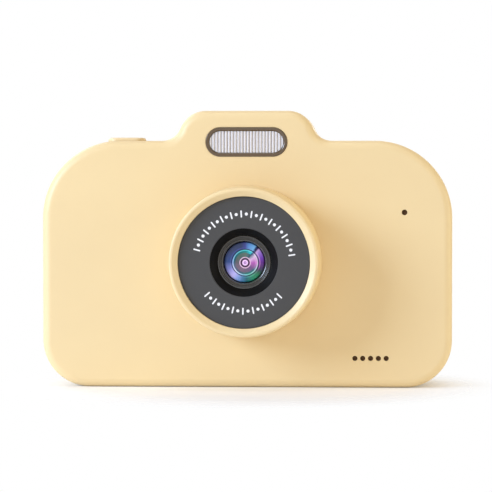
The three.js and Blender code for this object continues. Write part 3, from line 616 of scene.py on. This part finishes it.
# Colour, roughness, size of the blotches in millimetres and other settings of each plain paint.
PLAIN_LOOKS = {
    "key_plastic": ((0.87, 0.69, 0.4), 0.4, 0.6),
    "key_symbol": ((0.3, 0.21, 0.1), 0.5),
    "mark_ink": ((0.9, 0.9, 0.9), 0.5),
    "black_plastic": ((0.006, 0.0055, 0.005), 0.5, 0.5, {"Specular IOR Level": 0.12}),
    "holder_plastic": ((0.05, 0.048, 0.042), 0.25, 0.5, {"Specular IOR Level": 0.8}),
    "smoke_plastic": ((0.108, 0.07, 0.037), 0.25, 0.5, {"Coat Weight": 0.6}),
    "flap_rubber": ((0.8, 0.6, 0.31), 0.75),
    "card_resin": ((0.02, 0.02, 0.022), 0.4),
    "gold_plating": ((0.9, 0.62, 0.22), 0.25, 0.5, {"Metallic": 1.0}),
    # Painted shade: the sound-hole screens are dark brown to stand for the shade inside the holes.
    "shaded_woven_screen": ((0.07, 0.032, 0.009), 0.8, 0.2),
    "circuit_board": ((0.012, 0.09, 0.045), 0.35, 2.0),
    "chip_resin": ((0.012, 0.012, 0.013), 0.55),
    "mirror_coat": ((0.85, 0.85, 0.86), 0.12, 0.5, {"Metallic": 1.0}),
    "led_resin": ((0.85, 0.68, 0.2), 0.35),
    "ribbon_film": ((0.45, 0.2, 0.04), 0.35, 1.0),
    "foam": ((0.03, 0.03, 0.03), 0.95),
    "battery_foil": ((0.55, 0.56, 0.58), 0.35, 2.0, {"Metallic": 0.8}),
    "red_wire": ((0.45, 0.02, 0.015), 0.5),
    "black_wire": ((0.01, 0.01, 0.01), 0.5),
}
PAINTS = {name: plain_paint(name, *look) for name, look in PLAIN_LOOKS.items()}
PAINTS["shell_plastic"] = shell_paint()
PAINTS["face_plastic"] = face_paint()
PAINTS["lens_glass"] = glass_paint()
PAINTS["clear_plastic"] = ribbed_paint()
PAINTS["steel"] = steel_paint()
PAINTS["screen_glass"] = screen_paint()

# ---- Case ----


def drill(outline, near, far, axis="y", grow=0.0):
    """Cutting tool: an outline pushed from near to far."""
    return tower("drill", outline, [(grow, near), (grow, far)], axis)


def brick(low, high):
    """Plain block used as a tool, between two corners in millimetres."""
    flat = [(low[0], low[2]), (high[0], low[2]), (high[0], high[2]), (low[0], high[2])]
    return loft("brick", [placed(flat, low[1], "y"), placed(flat, high[1], "y")])


SCREWS = [node_middle(node) for node in SCREW_NODES]
FLASH_LOW, FLASH_HIGH = node_box("flash_window")
FLASH_Z = (FLASH_LOW.z + FLASH_HIGH.z) / 2
FLASH_SIZE = (19.8, 7.06)
MIC = node_middle("microphone")
SPEAKER = node_middle("speaker")
SPEAKER_HOLES = 5
SPEAKER_PITCH = 1.9
SPEAKER_HOLE_R = 0.62
MIC_HOLE_R = 0.68
SPIGOT_R = 15.5
SHUTTER_SIZE = (9.25, 6.0)
SHUTTER_CORNER_R = 2.5
SHUTTER_MIDDLE = (SHUTTER_LOW + SHUTTER_HIGH) / 2
# Lowest and highest z of the tool that cuts the shutter button's opening.
SHUTTER_CUT = (57, 62)
BOSS_R = 2.6
POST_R = 3.3
SCREW_HOLE_R = 1.3
SCREW_POCKET_R = 2.3


def sound_drill(x, z, radius):
    """Tool for a small hole whose rim is rounded where it opens in the front face."""
    edge = FRONT_HOLE_EDGE
    stations = [(edge, FRONT_Y - 1)]
    for i in range(5):
        turn = radians(90 * i / 4)
        stations.append((edge * (1 - sin(turn)), FRONT_Y + edge * (1 - cos(turn))))
    stations.append((0, FRONT_Y + WALL + 0.5))
    return tower("drill", circle(x, z, radius, 32), stations)


def speaker_places():
    middle = (SPEAKER_HOLES - 1) / 2
    return [SPEAKER.x + (i - middle) * SPEAKER_PITCH for i in range(SPEAKER_HOLES)]


def shutter_outline():
    return rectangle(SHUTTER_MIDDLE.x, SHUTTER_MIDDLE.y, *SHUTTER_SIZE, SHUTTER_CORNER_R)


def front_case():
    """Front shell with its hump, inner lip, screw bosses and openings."""
    seam = PARTING_Y - SEAM_GAP
    lip = seam + 0.6
    stations = [
        *reversed(round_edge(FRONT_Y, -1, EDGE_R, 10)),
        *round_edge(seam, 1, SEAM_EDGE, 3),
        (-WALL - 0.3, seam),
        (-WALL - 0.3, lip),
        (-WALL - 1.1, lip),
        (-WALL - 1.1, seam - 0.7),
        (-WALL, seam - 1.4),
        (-WALL, FRONT_Y + WALL),
    ]
    case = tower("front_case", case_outline, stations)
    bosses = [drill(circle(spot.x, spot.z, BOSS_R, 32), FRONT_Y + WALL - 0.2, 9.2) for spot in SCREWS]
    combine(case, bosses, "UNION")
    through = (FRONT_Y - 1, FRONT_Y + WALL + 0.5)
    tools = [
        drill(circle(0, LENS_Z, SPIGOT_R + 0.2, 96), *through),
        drill(stadium(0, FLASH_Z, *FLASH_SIZE), *through, grow=0.03),
        drill(shutter_outline(), *SHUTTER_CUT, "z", 0.15),
        sound_drill(MIC.x, MIC.z, MIC_HOLE_R),
    ]
    tools += [sound_drill(x, SPEAKER.z, SPEAKER_HOLE_R) for x in speaker_places()]
    tools += [drill(circle(spot.x, spot.z, SCREW_HOLE_R, 24), 1, 10) for spot in SCREWS]
    combine(case, tools)

    def outer_rims(spot):
        near_slot = abs(spot.x - SHUTTER_MIDDLE.x) < 6 and spot.z > 59.3
        return abs(spot.y - FRONT_Y) < 0.02 or near_slot

    soften(case, FRONT_HOLE_EDGE, outer_rims)
    return dress(case, "case", "shell_plastic", "front_shell")


def dust_screens():
    """Woven screens set into the sound holes; their dark brown is painted shade for the hollows behind the
    holes.
    """
    holes = [("microphone_screen", MIC.x, MIC.z, MIC_HOLE_R)]
    for i, x in enumerate(speaker_places()):
        holes.append((f"speaker_screen_{i + 1}", x, SPEAKER.z, SPEAKER_HOLE_R))
    front = FRONT_Y + 0.5
    stations = [(0, front + 0.3), (0, front + 0.06), (-0.1, front), (-0.3, front - 0.03)]
    for name, x, z, radius in holes:
        screen = tower(name, circle(x, z, radius - 0.01, 24), stations)
        dress(screen, "case", "foam", paint="shaded_woven_screen")


# ---- Key outlines ----

# Each arrow key and the direction it lies in, in degrees from +X.
ARROWS = {"left_button": 0, "up_button": 90, "right_button": 180, "down_button": 270}
ARROW_INNER_R = 5.6
ARROW_OUTER_R = 11.3
ARROW_GAP = 1.8
ARROW_CORNER_R = 0.7
ARROW_MIDDLE_R = (ARROW_INNER_R + ARROW_OUTER_R) / 2
KEY_CLEARANCE = 0.16
KEY_EDGE_R = 0.45
FLANGE = 0.7


def key_body(node):
    """Body that a key's node belongs to."""
    return node.replace("_button", "_key")


def key_outlines():
    """Cap outline of each rear key, from its CAD box."""
    outlines = {}
    for node in ("menu_button", "playback_button", "power_button"):
        middle, size = node_span(node)
        outlines[node] = stadium(middle.x, middle.z, size.x - 2 * FLANGE, size.z - 2 * FLANGE)
    pad, size = node_span("ok_button")
    outlines["ok_button"] = circle(pad.x, pad.z, size.x / 2 - FLANGE)
    for node, facing in ARROWS.items():
        outlines[node] = arrow_outline(pad.x, pad.z, facing)
    return outlines


def arrow_outline(x, z, facing):
    """Quarter of the arrow ring with round corners: a smaller quarter grown by the corner radius."""
    inner = ARROW_INNER_R + ARROW_CORNER_R
    outer = ARROW_OUTER_R - ARROW_CORNER_R
    side = ARROW_GAP / 2 + ARROW_CORNER_R
    inner_reach = 45 - degrees(asin(side / inner))
    outer_reach = 45 - degrees(asin(side / outer))

    def corner(radius, reach, grow, start, end):
        turn = radians(facing + reach)
        a = x + radius * cos(turn)
        b = z + radius * sin(turn)
        return arc(a, b, ARROW_CORNER_R + grow, facing + start, facing + end, 5)

    def outline(grow):
        edge = ARROW_CORNER_R + grow
        return [
            *corner(outer, -outer_reach, grow, -135, -outer_reach),
            *arc(x, z, outer + edge, facing - outer_reach, facing + outer_reach, 20)[1:-1],
            *corner(outer, outer_reach, grow, outer_reach, 135),
            *corner(inner, inner_reach, grow, 135, 180 + inner_reach),
            *arc(x, z, inner - edge, facing + inner_reach, facing - inner_reach, 12)[1:-1],
            *corner(inner, -inner_reach, grow, 180 - inner_reach, 225),
        ]

    return outline


KEYS = key_outlines()

# ---- Rear shell ----


def screen_cuts():
    """Seat for the screen cover and the opening behind it."""
    middle, size = node_span("screen_cover")
    seat_y = node_box("screen_cover")[0].y - 0.2
    seat = rectangle(middle.x, middle.z, size.x, size.z, 3)
    view = rectangle(middle.x, middle.z, size.x - 5, size.z - 5, 1.5)
    return [drill(seat, seat_y, BACK_Y + 1, grow=0.1), drill(view, BACK_Y - 3, BACK_Y)]


def side_hole(node, corner, near, grow):
    """Tool that opens the side wall from near outwards, for a node with grow to spare all round."""
    middle, size = node_span(node)
    return drill(rectangle(middle.y, middle.z, size.y, size.z, corner), near, OUTSIDE_X, "x", grow)


def side_cuts():
    """Recess for the flap, the ports behind it, the card slot with its scoop, and the strap pocket."""
    card = node_middle("memory_card")
    pin_low, pin_high = node_box("strap_pin")
    pin = (pin_low + pin_high) / 2
    return [
        side_hole("port_cover", 0.8, node_box("port_cover")[0].x - 0.2, 0.14),
        side_hole("usb_socket", 1.5, HALF_WIDTH - 4, 0.15),
        side_hole("memory_card", 0.3, HALF_WIDTH - 3, 0.25),
        drill(rectangle(card.y, card.z, 3.6, 7, 1.6), HALF_WIDTH - 0.8, OUTSIDE_X, "x"),
        brick((-OUTSIDE_X, pin.y - 3, pin.z - 4), (-HALF_WIDTH + 4.2, pin.y + 3, pin.z + 4)),
        drill(circle(pin.x, pin.y, 0.9, 32), pin_low.z, pin_high.z, "z"),
    ]


def rear_additions():
    """Screw posts, the thickening behind the flap and the walls of the strap pocket."""
    posts = [drill(circle(spot.x, spot.z, POST_R, 40), 9.5, BACK_Y - REAR_WALL + 0.2) for spot in SCREWS]
    low, high = node_box("port_cover")
    inner_x = HALF_WIDTH - WALL
    pad = brick((inner_x - 1, low.y - 0.5, low.z - 0.6), (inner_x + 0.1, high.y + 0.7, high.z + 0.6))
    pin = node_middle("strap_pin")
    pocket = brick((-HALF_WIDTH + 1, pin.y - 4, pin.z - 5), (-HALF_WIDTH + 5.2, pin.y + 4, pin.z + 5))
    return [*posts, pad, pocket]


def rear_case():
    """Rear shell with its posts, key openings, screen seat, side ports and screw pockets."""
    seam = PARTING_Y + SEAM_GAP
    stations = [
        *reversed(round_edge(BACK_Y, 1, EDGE_R, 10)),
        *round_edge(seam, -1, SEAM_EDGE, 3),
        (-WALL, seam),
        (-WALL, BACK_Y - REAR_WALL),
    ]
    case = tower("rear_case", case_outline, stations)
    combine(case, rear_additions(), "UNION")
    tools = [*screen_cuts(), *side_cuts()]
    for outline in KEYS.values():
        tools.append(drill(outline, BACK_Y - REAR_WALL - 1, BACK_Y + 1, grow=KEY_CLEARANCE))
    for spot in SCREWS:
        tools.append(drill(circle(spot.x, spot.z, SCREW_POCKET_R, 40), BACK_Y - 3, BACK_Y + 1))
        tools.append(drill(circle(spot.x, spot.z, SCREW_HOLE_R, 24), 9, BACK_Y - 1))
    combine(case, tools)

    def outer_rims(spot):
        on_back = abs(spot.y - BACK_Y) < 0.02
        on_side = abs(abs(spot.x) - HALF_WIDTH) < 0.02 and spot.y > PARTING_Y + 0.5
        return on_back or on_side

    soften(case, HOLE_EDGE, outer_rims)
    return dress(case, "case", "shell_plastic", "rear_shell")


def case_screw(number, spot):
    """Pan-head screw with a cross recess."""
    node = SCREW_NODES[number]
    low, high = node_box(node)
    seat = high.y - 1.5
    outline = circle(spot.x, spot.z, 1.95, 40)
    stations = [
        (-1.3, low.y), (-0.95, low.y + 0.8), (-0.95, seat), (0, seat), (0, seat + 0.55),
        (-0.12, seat + 0.9), (-0.4, seat + 1.2), (-0.85, seat + 1.42), (-1.4, high.y),
    ]
    screw = tower(f"fine_screw_{number + 1}", outline, stations)
    arms = []
    for width, height in ((2.3, 0.44), (0.44, 2.3)):
        arm = rectangle(spot.x, spot.z, width, height, 0.12, 3)
        arms.append(drill(arm, high.y - 0.8, high.y + 1))
    combine(screw, arms)
    return dress(screw, "case", "steel", node)


def strap_pin():
    low, high = node_box("strap_pin")
    middle = (low + high) / 2
    outline = circle(middle.x, middle.y, (high.x - low.x) / 2, 40)
    stations = [*reversed(round_edge(low.z, -1, 0.2, 4)), *round_edge(high.z, 1, 0.2, 4)]
    pin = tower("fine_strap_pin", outline, stations, "z")
    return dress(pin, "case", "steel", "strap_pin")


# ---- Lens ----

PLATE_LOW, PLATE_HIGH = node_box("lens_face_plate")
PLATE_Y = PLATE_LOW.y
PLATE_BACK_Y = PLATE_HIGH.y
PLATE_R = PLATE_HIGH.x
DISC_R = PLATE_R + 0.15
CONE_R = 8.1
BARREL_BORE_R = 14.2
RIM_INNER_R = 17.1
RIM_OUTER_R = 17.85
HOLDER_LOW, HOLDER_HIGH = node_box("lens_holder")
HOLDER_R = HOLDER_HIGH.x
HOLDER_BORE_R = 5.0
GLASS_LOW, GLASS_HIGH = node_box("front_lens_element")
GLASS_DOME = 1.0
SCALE_ARCS = ((9, 165), (221, 317))
SCALE_R = 11.6
SCALE_STEP = 6
LONG_MARK = 1.7
DOT_MARK = 0.75
MARK_WIDTH = 0.36


def lens_barrel():
    """Barrel with a spigot in the front shell, a flat rim and a sloped recess for the face plate."""
    bore = BARREL_BORE_R
    ring = rounded([
        (SPIGOT_R, FRONT_Y + 3, 0.2),
        (bore, FRONT_Y + 3, 0.2),
        (bore, PLATE_BACK_Y + 0.06, 0.1),
        (DISC_R + 0.05, PLATE_BACK_Y + 0.06, 0),
        (DISC_R + 0.05, RIM_Y + 0.85, 0.14),
        (RIM_INNER_R, RIM_Y, 0.3),
        (RIM_OUTER_R, RIM_Y, 0.5),
        (RIM_OUTER_R + 0.13, RIM_Y + 4, 0),
        (BARREL_R, FRONT_Y - 0.04, 0.12),
        (SPIGOT_R, FRONT_Y - 0.04, 0),
    ])
    barrel = lathe("fine_barrel", ring, BARREL_STEPS)
    return dress(barrel, "case", "shell_plastic", "lens_barrel")


def lens_face_plate():
    """Flat ring that the scale is printed on."""
    ring = rounded([
        (CONE_R + 0.04, PLATE_Y, 0.1),
        (DISC_R, PLATE_Y, 0.12),
        (DISC_R, PLATE_BACK_Y, 0),
        (CONE_R + 0.04, PLATE_BACK_Y, 0),
    ])
    plate = lathe("fine_face_plate", ring, BARREL_STEPS)
    return dress(plate, "case", "face_plastic", "lens_face_plate")


def scale_marks():
    """Printed scale on the face plate: two arcs of bars and dots."""
    outlines = []
    bar = stadium(SCALE_R, 0, LONG_MARK, MARK_WIDTH)(0)
    dot = circle(SCALE_R, 0, DOT_MARK / 2, 20)(0)
    for start, end in SCALE_ARCS:
        count = round((end - start) / SCALE_STEP)
        for i in range(count + 1):
            turn = radians(start + (end - start) * i / count)
            outlines.append(turned(dot if i % 2 else bar, turn))
    return dress(films("scale_marks", outlines, PLATE_Y), "case", "mark_ink")


def turned(mark, turn):
    """A mark of the scale, turned about the lens axis."""
    cosine = cos(turn)
    sine = sin(turn)
    return [(a * cosine - b * sine, LENS_Z + a * sine + b * cosine) for a, b in mark]


def films(name, outlines, surface, facing=-1):
    """Films of ink or plating: outlines in x and z that stand just proud of a surface."""
    points = []
    faces = []
    for outline in outlines:
        first = len(points)
        count = len(outline)
        for distance in (surface + facing * INK_FILM, surface - facing * INK_FILM):
            points += placed(outline, distance, "y")
        faces.append(tuple(range(first, first + count)))
        faces.append(tuple(range(first + 2 * count - 1, first + count - 1, -1)))
        faces += strip(first, first + count, count)
    return new_object(name, points, faces)


def lens_cone():
    """Funnel that slopes from the face plate in to the lens holder."""
    low, high = node_box("lens_cone_bezel")
    ring = rounded([
        (CONE_R - 0.12, low.y, 0.05),
        (CONE_R, low.y, 0),
        (CONE_R, PLATE_BACK_Y + 0.06, 0),
        (high.x, PLATE_BACK_Y + 0.06, 0),
        (high.x, high.y, 0.1),
        (HOLDER_R - 0.1, high.y, 0),
        (HOLDER_R - 0.1, high.y - 0.75, 0.05),
        (HOLDER_R + 0.15, high.y - 0.85, 0.05),
    ])
    cone = lathe("fine_cone", ring)
    return dress(cone, "case", "black_plastic", "lens_cone_bezel")


def lens_holder():
    """Threaded lens holder: a lip, two fine ridges, and a dark bore with a seat for the glass."""
    front = HOLDER_LOW.y
    bore = HOLDER_BORE_R
    lip = HOLDER_R - 0.2
    ring = rounded([
        (bore, front + 0.9, 0.1),
        (bore + 0.16, front + 0.5, 0.06),
        (bore + 0.42, front + 0.32, 0.08),
        (bore + 0.52, front + 0.56, 0.05),
        (bore + 0.66, front + 0.2, 0.08),
        (bore + 0.86, front + 0.34, 0.06),
        (lip - 0.32, front, 0.1),
        (lip - 0.06, front + 0.06, 0.06),
        (lip, front + 0.4, 0.08),
        (lip, HOLDER_HIGH.y, 0),
        (3.6, HOLDER_HIGH.y, 0),
        (3.6, front + 3.6, 0),
        (bore, front + 3.6, 0),
    ])
    holder = lathe("fine_lens_holder", ring)
    return dress(holder, "case", "holder_plastic", "lens_holder")


def front_glass():
    """Domed front element, from a flat back to the vertex."""
    radius = GLASS_HIGH.x
    sphere = (radius * radius + GLASS_DOME * GLASS_DOME) / (2 * GLASS_DOME)
    vertex = GLASS_LOW.y
    stations = [(0, GLASS_HIGH.y), (0, vertex + GLASS_DOME + 0.1)]
    for i in range(1, 25):
        at = radius * (1 - i / 24)
        drop = sphere - sqrt(sphere * sphere - at * at)
        stations.append((max(at, 0.01) - radius, vertex + drop))
    glass = tower("front_glass", circle(0, LENS_Z, radius, 96), stations)
    return dress(glass, "case", "lens_glass", "front_lens_element")


# ---- Flash ----


def flash_frame():
    """Rounded frame round the flash window, with a flange inside the case."""
    back = node_box("flash_bezel")[1].y
    front = FRONT_Y - 0.15
    outline = stadium(0, FLASH_Z, *FLASH_SIZE)
    stations = [
        (0, back - 0.8), (0, front + 0.12), (-0.04, front + 0.04), (-0.12, front),
        (-0.5, front + 0.04), (-0.72, front + 0.12), (-0.86, front + 0.3), (-0.9, front + 0.5),
        (-0.9, back), (1.3, back), (1.3, back - 0.8),
    ]
    loops = [placed(outline(grow), y, "y") for grow, y in stations]
    frame_ring = loft("flash_frame", loops, closed=True)
    return dress(frame_ring, "case", "smoke_plastic", "flash_bezel")


def flash_lens():
    """Clear window whose front is a row of upright half-round ribs."""
    left = -RIB_COUNT / 2 * RIB_PITCH
    front = []
    for rib in range(RIB_COUNT):
        for step in range(RIB_STEPS):
            share = step / RIB_STEPS
            rise = RIB_DEPTH * sin(pi * share) ** 0.6
            front.append((left + (rib + share) * RIB_PITCH, RIB_CREST_Y + RIB_DEPTH - rise))
    right = left + RIB_COUNT * RIB_PITCH
    front.append((right, RIB_CREST_Y + RIB_DEPTH))
    back = [(right, FLASH_HIGH.y), (left, FLASH_HIGH.y)]
    section = front + back
    height = (FLASH_LOW.z - 1, FLASH_HIGH.z + 1)
    ribbed = loft("flash_lens", [placed(section, z, "z") for z in height])
    trim = drill(stadium(0, FLASH_Z, *FLASH_SIZE), FRONT_Y - 2, FLASH_HIGH.y + 1, grow=-0.93)
    combine(ribbed, [trim], "INTERSECT")
    return dress(ribbed, "case", "clear_plastic", "flash_window")


# ---- Keys and screen ----


def rear_key(node, outline):
    """Key cap over a flange that keeps it in the case. Arrow keys are flat and the others crowned."""
    inner = node_box(node)[0].y
    stations = [
        (FLANGE * 0.9, inner), (FLANGE * 0.9, inner + 1), (0, inner + 1),
        *round_edge(KEY_Y - 0.06, 1, KEY_EDGE_R, 6),
    ]
    if node not in ARROWS:
        stations += [(-1.0, KEY_Y - 0.02), (-1.6, KEY_Y)]
    key = tower("fine_" + node, outline, stations)
    return dress(key, key_body(node), "key_plastic", node)


def shutter_button():
    bottom = SHUTTER_LOW.z
    top = SHUTTER_HIGH.z
    stations = [
        (0.8, bottom), (0.8, bottom + 1), (0, bottom + 1),
        *round_edge(top - 0.05, 1, 0.6, 6), (-1.2, top - 0.01), (-2.0, top),
    ]
    button = tower("fine_shutter_button", shutter_outline(), stations, "z")
    return dress(button, "shutter_key", "key_plastic", "shutter_button")


def screen_window():
    low, high = node_box("screen_cover")
    middle = (low + high) / 2
    size = high - low
    outline = rectangle(middle.x, middle.z, size.x, size.z, 3, 10)
    window = tower("screen_window", outline, [(0, low.y), *round_edge(high.y - 0.02, 1, 0.15, 4)])
    return dress(window, "case", "screen_glass", "screen_cover")


# ---- Side ports ----

CONTACTS = 8
CONTACT_PITCH = 1.1


def port_flap():
    """Soft flap with a rounded edge, a finger scoop at the free end and three grip ribs."""
    low, high = node_box("port_cover")
    middle = (low + high) / 2
    size = high - low
    outline = rectangle(middle.y, middle.z, size.y, size.z, 0.8)
    flap = tower("fine_port_cover", outline, [(0, low.x), *round_edge(high.x - 0.12, 1, 0.2, 4)], "x")
    stations = [(0, high.x - 0.2), (0, high.x - 0.04), (-0.08, high.x)]
    ribs = []
    for i in range(3):
        rib = swapped(stadium(middle.z, low.y + 1.1 + 0.75 * i, 5.2, 0.34))
        ribs.append(tower("rib", rib, stations, "x"))
    combine(flap, ribs, "UNION")
    scoop = drill(circle(low.y - 1.2, middle.z, 1.75, 40), high.x - 0.45, high.x + 1, "x")
    combine(flap, [scoop])
    return dress(flap, "port_flap", "flap_rubber", "port_cover")


def usb_socket():
    """Folded steel shell with round ends, and a black tongue inside."""
    low, high = node_box("usb_socket")
    middle = (low + high) / 2
    size = high - low
    outline = swapped(stadium(middle.z, middle.y, size.z, size.y))
    stations = [
        (0, low.x + 0.1), (0, high.x - 0.08), (-0.08, high.x), (-0.22, high.x),
        (-0.3, high.x - 0.08), (-0.3, low.x + 1),
    ]
    shell = tower("fine_usb_socket", outline, stations, "x")
    dress(shell, "case", "steel", "usb_socket")
    outline = rectangle(middle.y, middle.z, 0.75, 6.7, 0.2)
    stations = [(0, low.x + 0.8), (0, high.x - 0.75), (-0.1, high.x - 0.6)]
    tongue = tower("usb_tongue", outline, stations, "x")
    return dress(tongue, "case", "black_plastic")


def memory_card():
    """Card with a cut corner, a thumb ridge at its outer end and a row of plated contacts."""
    low, high = node_box("memory_card")
    cut = 1.6
    corner = 0.5
    points = [
        (high.x, low.z), (high.x, high.z), (low.x, high.z),
        (low.x, low.z + cut), (low.x + cut, low.z),
    ]
    outline = rounded([(x, z, corner) for x, z in points])
    edge = 0.06
    inside = rounded([
        (min(max(x, low.x + edge), high.x - edge), min(max(z, low.z + edge), high.z - edge), corner - edge)
        for x, z in points
    ])
    layers = [(inside, low.y), (outline, low.y + edge), (outline, high.y - edge), (inside, high.y)]
    card = loft("fine_memory_card", [placed(loop, y, "y") for loop, y in layers])
    grooves = []
    for i in range(3):
        slot = rectangle(high.x - 1.1 - 0.7 * i, (low.z + high.z) / 2, 0.35, 6, 0.15, 3)
        grooves.append(drill(slot, high.y - 0.12, high.y + 1))
    combine(card, grooves)
    dress(card, "card", "card_resin", "memory_card")
    return card_contacts(low, high)


def card_contacts(low, high):
    """Row of plated contacts on the card's face."""
    pads = []
    for i in range(CONTACTS):
        z = (low.z + high.z) / 2 + (i - (CONTACTS - 1) / 2) * CONTACT_PITCH
        pads.append(rectangle(low.x + 2.6, z, 2.6, 0.8, 0.15, 3)(0))
    return dress(films("card_contacts", pads, low.y), "card", "steel", paint="gold_plating")


# ---- Printed symbols ----


def triangle(x, z, reach, facing):
    """Rounded triangle that points along facing, in degrees."""
    corners = []
    for turn in (0, 120, 240):
        angle = radians(facing + turn)
        corners.append((x + reach * cos(angle), z + reach * sin(angle), 0.18))
    return rounded(corners)


def key_symbols():
    """Generic printed signs on the rear keys, each riding on its own key."""
    pad = node_middle("ok_button")
    for node, facing in ARROWS.items():
        turn = radians(facing)
        x = pad.x + ARROW_MIDDLE_R * cos(turn)
        z = pad.z + ARROW_MIDDLE_R * sin(turn)
        print_symbol(node, [triangle(x, z, 1.0, facing)])
    print_symbol("ok_button", [arc(pad.x, pad.z, 0.75, 0, 345, 23)])
    menu = node_middle("menu_button")
    bars = [stadium(menu.x, menu.z + 0.62 * (i - 1), 2.2, 0.3)(0) for i in range(3)]
    print_symbol("menu_button", bars)
    playback = node_middle("playback_button")
    print_symbol("playback_button", [triangle(playback.x, playback.z, 0.95, 180)])
    power = node_middle("power_button")
    bow = arc(power.x, power.z, 0.95, 125, 415, 24) + arc(power.x, power.z, 0.68, 415, 125, 24)
    stem = swapped(stadium(power.z + 0.7, power.x, 0.95, 0.28))(0)
    print_symbol("power_button", [bow, stem])


def print_symbol(node, outlines):
    symbol = films("symbol_" + node, outlines, KEY_Y, 1)
    return dress(symbol, key_body(node), "symbol_ink", paint="key_symbol")


# ---- Assembly ----


def paint_frame_nodes():
    """Materials for the CAD nodes that stay as they are."""
    for row in frame["record"]["subparts"]:
        node = frame["nodes"][row["node"]]
        if not node.hide_render:
            node.data.materials.clear()
            node.data.materials.append(PAINTS[row["material_slot"]])


def build_camera_body():
    front_case()
    dust_screens()
    rear_case()
    for number, spot in enumerate(SCREWS):
        case_screw(number, spot)
    strap_pin()
    lens_barrel()
    lens_face_plate()
    scale_marks()
    lens_cone()
    lens_holder()
    front_glass()
    flash_frame()
    flash_lens()
    for node, outline in KEYS.items():
        rear_key(node, outline)
    shutter_button()
    screen_window()
    port_flap()
    usb_socket()
    memory_card()
    key_symbols()
    paint_frame_nodes()


# ---- Studio ----

# Metres, except AIM_X and AIM_Z in millimetres and the angles in degrees.
FLOOR_SIZE = 0.8
FLOOR_FADE = (0.035, 0.065)
GLOW = 0.5
GLOW_COLOR = (1.0, 0.85, 0.7)
AIM_X = -0.1
AIM_Z = 34.5
CAMERA_AZIMUTH = 2.9
CAMERA_ELEVATION = 1.65
CAMERA_DISTANCE = 0.6
FRAME_WIDTH = 0.1197
SENSOR_WIDTH = 36

# Azimuth, elevation, distance and size in metres, power in watts, colour.
SOFTBOXES = {
    "key": (-60, 20, 1.0, 0.5, 10, (0.6, 0.75, 1.0)),
    "side": (80, 10, 1.0, 0.5, 3, (1.0, 1.0, 0.8)),
    "front": (0, 10, 1.5, 1.0, 1, (1.0, 1.0, 1.0)),
    "top": (0, 80, 1.0, 0.5, 1.5, (1.0, 1.0, 1.0)),
    "back_left": (-140, 35, 1.0, 0.6, 3, (0.8, 0.9, 1.0)),
    "back": (170, 10, 1.5, 1.0, 5, (0.8, 0.9, 1.0)),
}


def studio_floor():
    """White table top. It bounces light, and what is seen of it fades into the white backdrop."""
    half = FLOOR_SIZE / 2 / MM
    corners = [(-half, -half, 0), (half, -half, 0), (half, half, 0), (-half, half, 0)]
    floor = new_object("floor", corners, [(0, 1, 2, 3)])
    paint = Paint("floor", (0.95, 0.95, 0.95), 0.9)
    distance = paint.node("VectorMath", operation="LENGTH")
    paint.link(paint.place(), distance.inputs[0])
    faded = paint.ramp(distance.outputs["Value"], *FLOOR_FADE)
    seen = paint.node("LightPath").outputs["Is Camera Ray"]
    solid = paint.math("SUBTRACT", 1.0, paint.math("MULTIPLY", seen, faded))
    paint.link(solid, paint.surface.inputs["Alpha"])
    floor.data.materials.append(paint.material)


def aim_at(data, middle, azimuth, elevation, distance):
    """Puts a light or camera at a distance from a point, facing it. Azimuth 0 is the front."""
    turn = radians(azimuth)
    rise = radians(elevation)
    level = cos(rise)
    towards = Vector((sin(turn) * level, -cos(turn) * level, sin(rise)))
    made = add_object(data.name, data)
    made.location = middle + towards * distance
    made.rotation_mode = "QUATERNION"
    made.rotation_quaternion = (-towards).to_track_quat("-Z", "Y")
    return made


def softbox(name, azimuth, elevation, distance, size, power, color):
    data = bpy.data.lights.new(name, "AREA")
    data.shape = "DISK"
    data.size = size
    data.energy = power
    data.color = color
    aim_at(data, Vector((0, 0, AIM_Z)) * MM, azimuth, elevation, distance)


def studio_light():
    """White backdrop for the camera, a gentle glow from all round, and the softboxes."""
    world = bpy.data.worlds.new("studio")
    world.use_nodes = True
    nodes = world.node_tree.nodes
    links = world.node_tree.links
    glow = nodes["Background"]
    glow.inputs["Color"].default_value = (*GLOW_COLOR, 1)
    glow.inputs["Strength"].default_value = GLOW
    backdrop = nodes.new("ShaderNodeBackground")
    backdrop.inputs["Color"].default_value = (1, 1, 1, 1)
    seen = nodes.new("ShaderNodeLightPath")
    choose = nodes.new("ShaderNodeMixShader")
    links.new(seen.outputs["Is Camera Ray"], choose.inputs["Fac"])
    links.new(glow.outputs["Background"], choose.inputs[1])
    links.new(backdrop.outputs["Background"], choose.inputs[2])
    links.new(choose.outputs["Shader"], nodes["World Output"].inputs["Surface"])
    bpy.context.scene.world = world
    for name, settings in SOFTBOXES.items():
        softbox(name, *settings)


def studio_camera():
    data = bpy.data.cameras.new("camera")
    data.sensor_width = SENSOR_WIDTH
    data.lens = SENSOR_WIDTH * CAMERA_DISTANCE / FRAME_WIDTH
    middle = Vector((AIM_X, FRONT_Y, AIM_Z)) * MM
    camera = aim_at(data, middle, CAMERA_AZIMUTH, CAMERA_ELEVATION, CAMERA_DISTANCE)
    bpy.context.scene.camera = camera


bpy.context.scene.view_settings.view_transform = "Standard"
studio_camera()
studio_floor()
studio_light()
build_camera_body()
